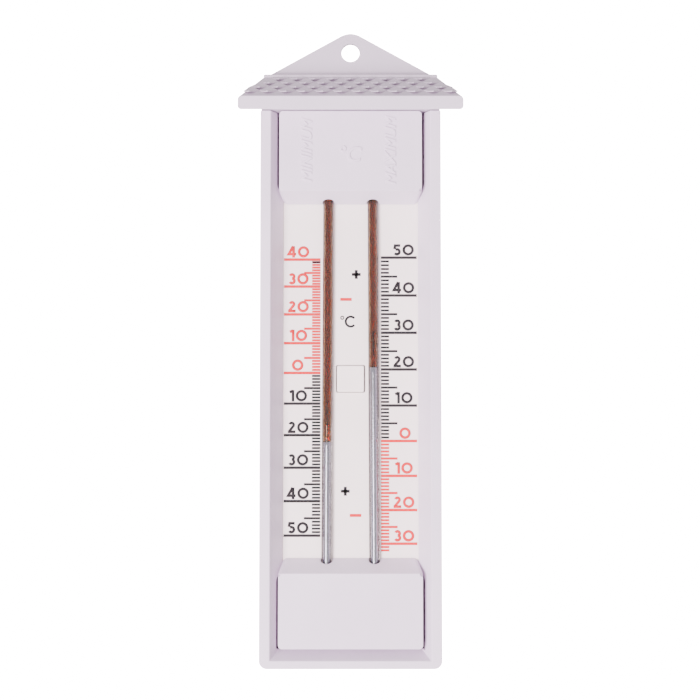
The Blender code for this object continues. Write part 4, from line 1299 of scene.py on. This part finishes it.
def finish_hidden_nodes(glass, spirit, ferrite, nylon):
    """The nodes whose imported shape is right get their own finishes."""
    finishes = {
        "minimum_bulb": glass,
        "expansion_bulb": glass,
        "minimum_bulb_spirit": spirit,
        "expansion_bulb_spirit": spirit,
        "magnet_strip_left": ferrite,
        "magnet_strip_right": ferrite,
        "magnet_carrier": nylon,
        "upper_tube_clip": nylon,
        "lower_tube_clip": nylon,
    }
    for name, material in finishes.items():
        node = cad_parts[name]
        for slot in node.material_slots:
            slot.material = material


# ---- stage ----


def make_stage():
    """Pale floor below the hanging thermometer, which ends a little way behind it."""
    floor = block("floor", (-0.9, -1.6, FLOOR_Z - 12 * MM), (0.9, 0.3, FLOOR_Z))
    round_edges(floor, 4 * MM, 4)
    floor.data.materials.append(floor_finish())


def make_light():
    world = bpy.data.worlds.new("studio")
    world.use_nodes = True
    nodes, links = world.node_tree.nodes, world.node_tree.links
    background = nodes["Background"]
    background.inputs["Color"].default_value = (*LIGHT_TINT, 1)
    # The backdrop is bright to the eye and gentler as a light.
    path = nodes.new("ShaderNodeLightPath")
    level = nodes.new("ShaderNodeMapRange")
    level.inputs["To Min"].default_value = AMBIENT
    level.inputs["To Max"].default_value = BACKDROP
    links.new(path.outputs["Is Camera Ray"], level.inputs["Value"])
    links.new(level.outputs["Result"], background.inputs["Strength"])
    bpy.context.scene.world = world
    lamp = bpy.data.lights.new("key", "AREA")
    lamp.size = KEY_SIZE
    lamp.energy = KEY_POWER
    lamp.color = LIGHT_TINT
    key = linked("key", lamp)
    key.location = KEY_PLACE
    key.rotation_euler = (KEY_TARGET - KEY_PLACE).to_track_quat("-Z", "Y").to_euler()
    key.visible_glossy = False


def make_camera():
    """Level with the lower half of the scale and pitched up a little."""
    target = Vector(CAMERA_TARGET) * MM
    pitch = math.radians(CAMERA_PITCH)
    back = Vector((0, -math.cos(pitch), -math.sin(pitch)))
    lens = bpy.data.cameras.new("camera")
    lens.sensor_width = 36
    lens.lens = LENS
    camera = linked("camera", lens)
    camera.location = target + back * CAMERA_DISTANCE * MM
    camera.rotation_euler = (-back).to_track_quat("-Z", "Y").to_euler()
    bpy.context.scene.camera = camera


# ---- the whole thermometer ----


def main():
    plastic = moulded_plastic("moulded_plastic")
    # The roof, its slates and its ridge take a darker copy of the same plastic: painted shade.
    roof_plastic_painted_shade = moulded_plastic("roof_plastic_painted_shade", 0.9)
    enamel = scale_enamel()
    black = print_ink("black_ink", (0.010, 0.009, 0.010), (0.020, 0.018, 0.020))
    red = print_ink("red_ink", (0.56, 0.012, 0.018), (0.66, 0.030, 0.036))
    glass = drawn_glass()
    spirit = dyed_spirit()
    mercury = liquid_mercury()
    steel = plated_steel()
    pin_steel = index_steel()

    # The back panel takes a still darker copy of the same plastic: painted shade.
    make_back(moulded_plastic("back_plastic_painted_shade", 0.82))
    make_case(plastic)
    top_end = TOP_HIGH.z + SOFFIT_RISE
    make_cover("top_cover_shell", TOP_LOW.z, top_end, TOP_SLOPE, plastic, "top_cover")
    make_cover(
        "bottom_cover_shell", BOTTOM_HIGH.z, BOTTOM_LOW.z, BOTTOM_SLOPE, plastic, "bottom_cover"
    )
    make_relief(plastic)
    make_roof(roof_plastic_painted_shade)
    make_slates(roof_plastic_painted_shade)
    make_ridge(roof_plastic_painted_shade)
    make_scale(enamel)
    make_scale_print(black, red)
    make_button(enamel)
    make_tube(glass)
    make_liquids(mercury, spirit)
    make_bend_mercury(mercury)
    make_index("minimum", "left", pin_steel)
    make_index("maximum", "right", pin_steel)
    make_screws(steel)
    make_spring(steel)
    finish_hidden_nodes(glass, spirit, sintered_ferrite(), natural_nylon())
    make_stage()
    make_light()
    make_camera()


main()
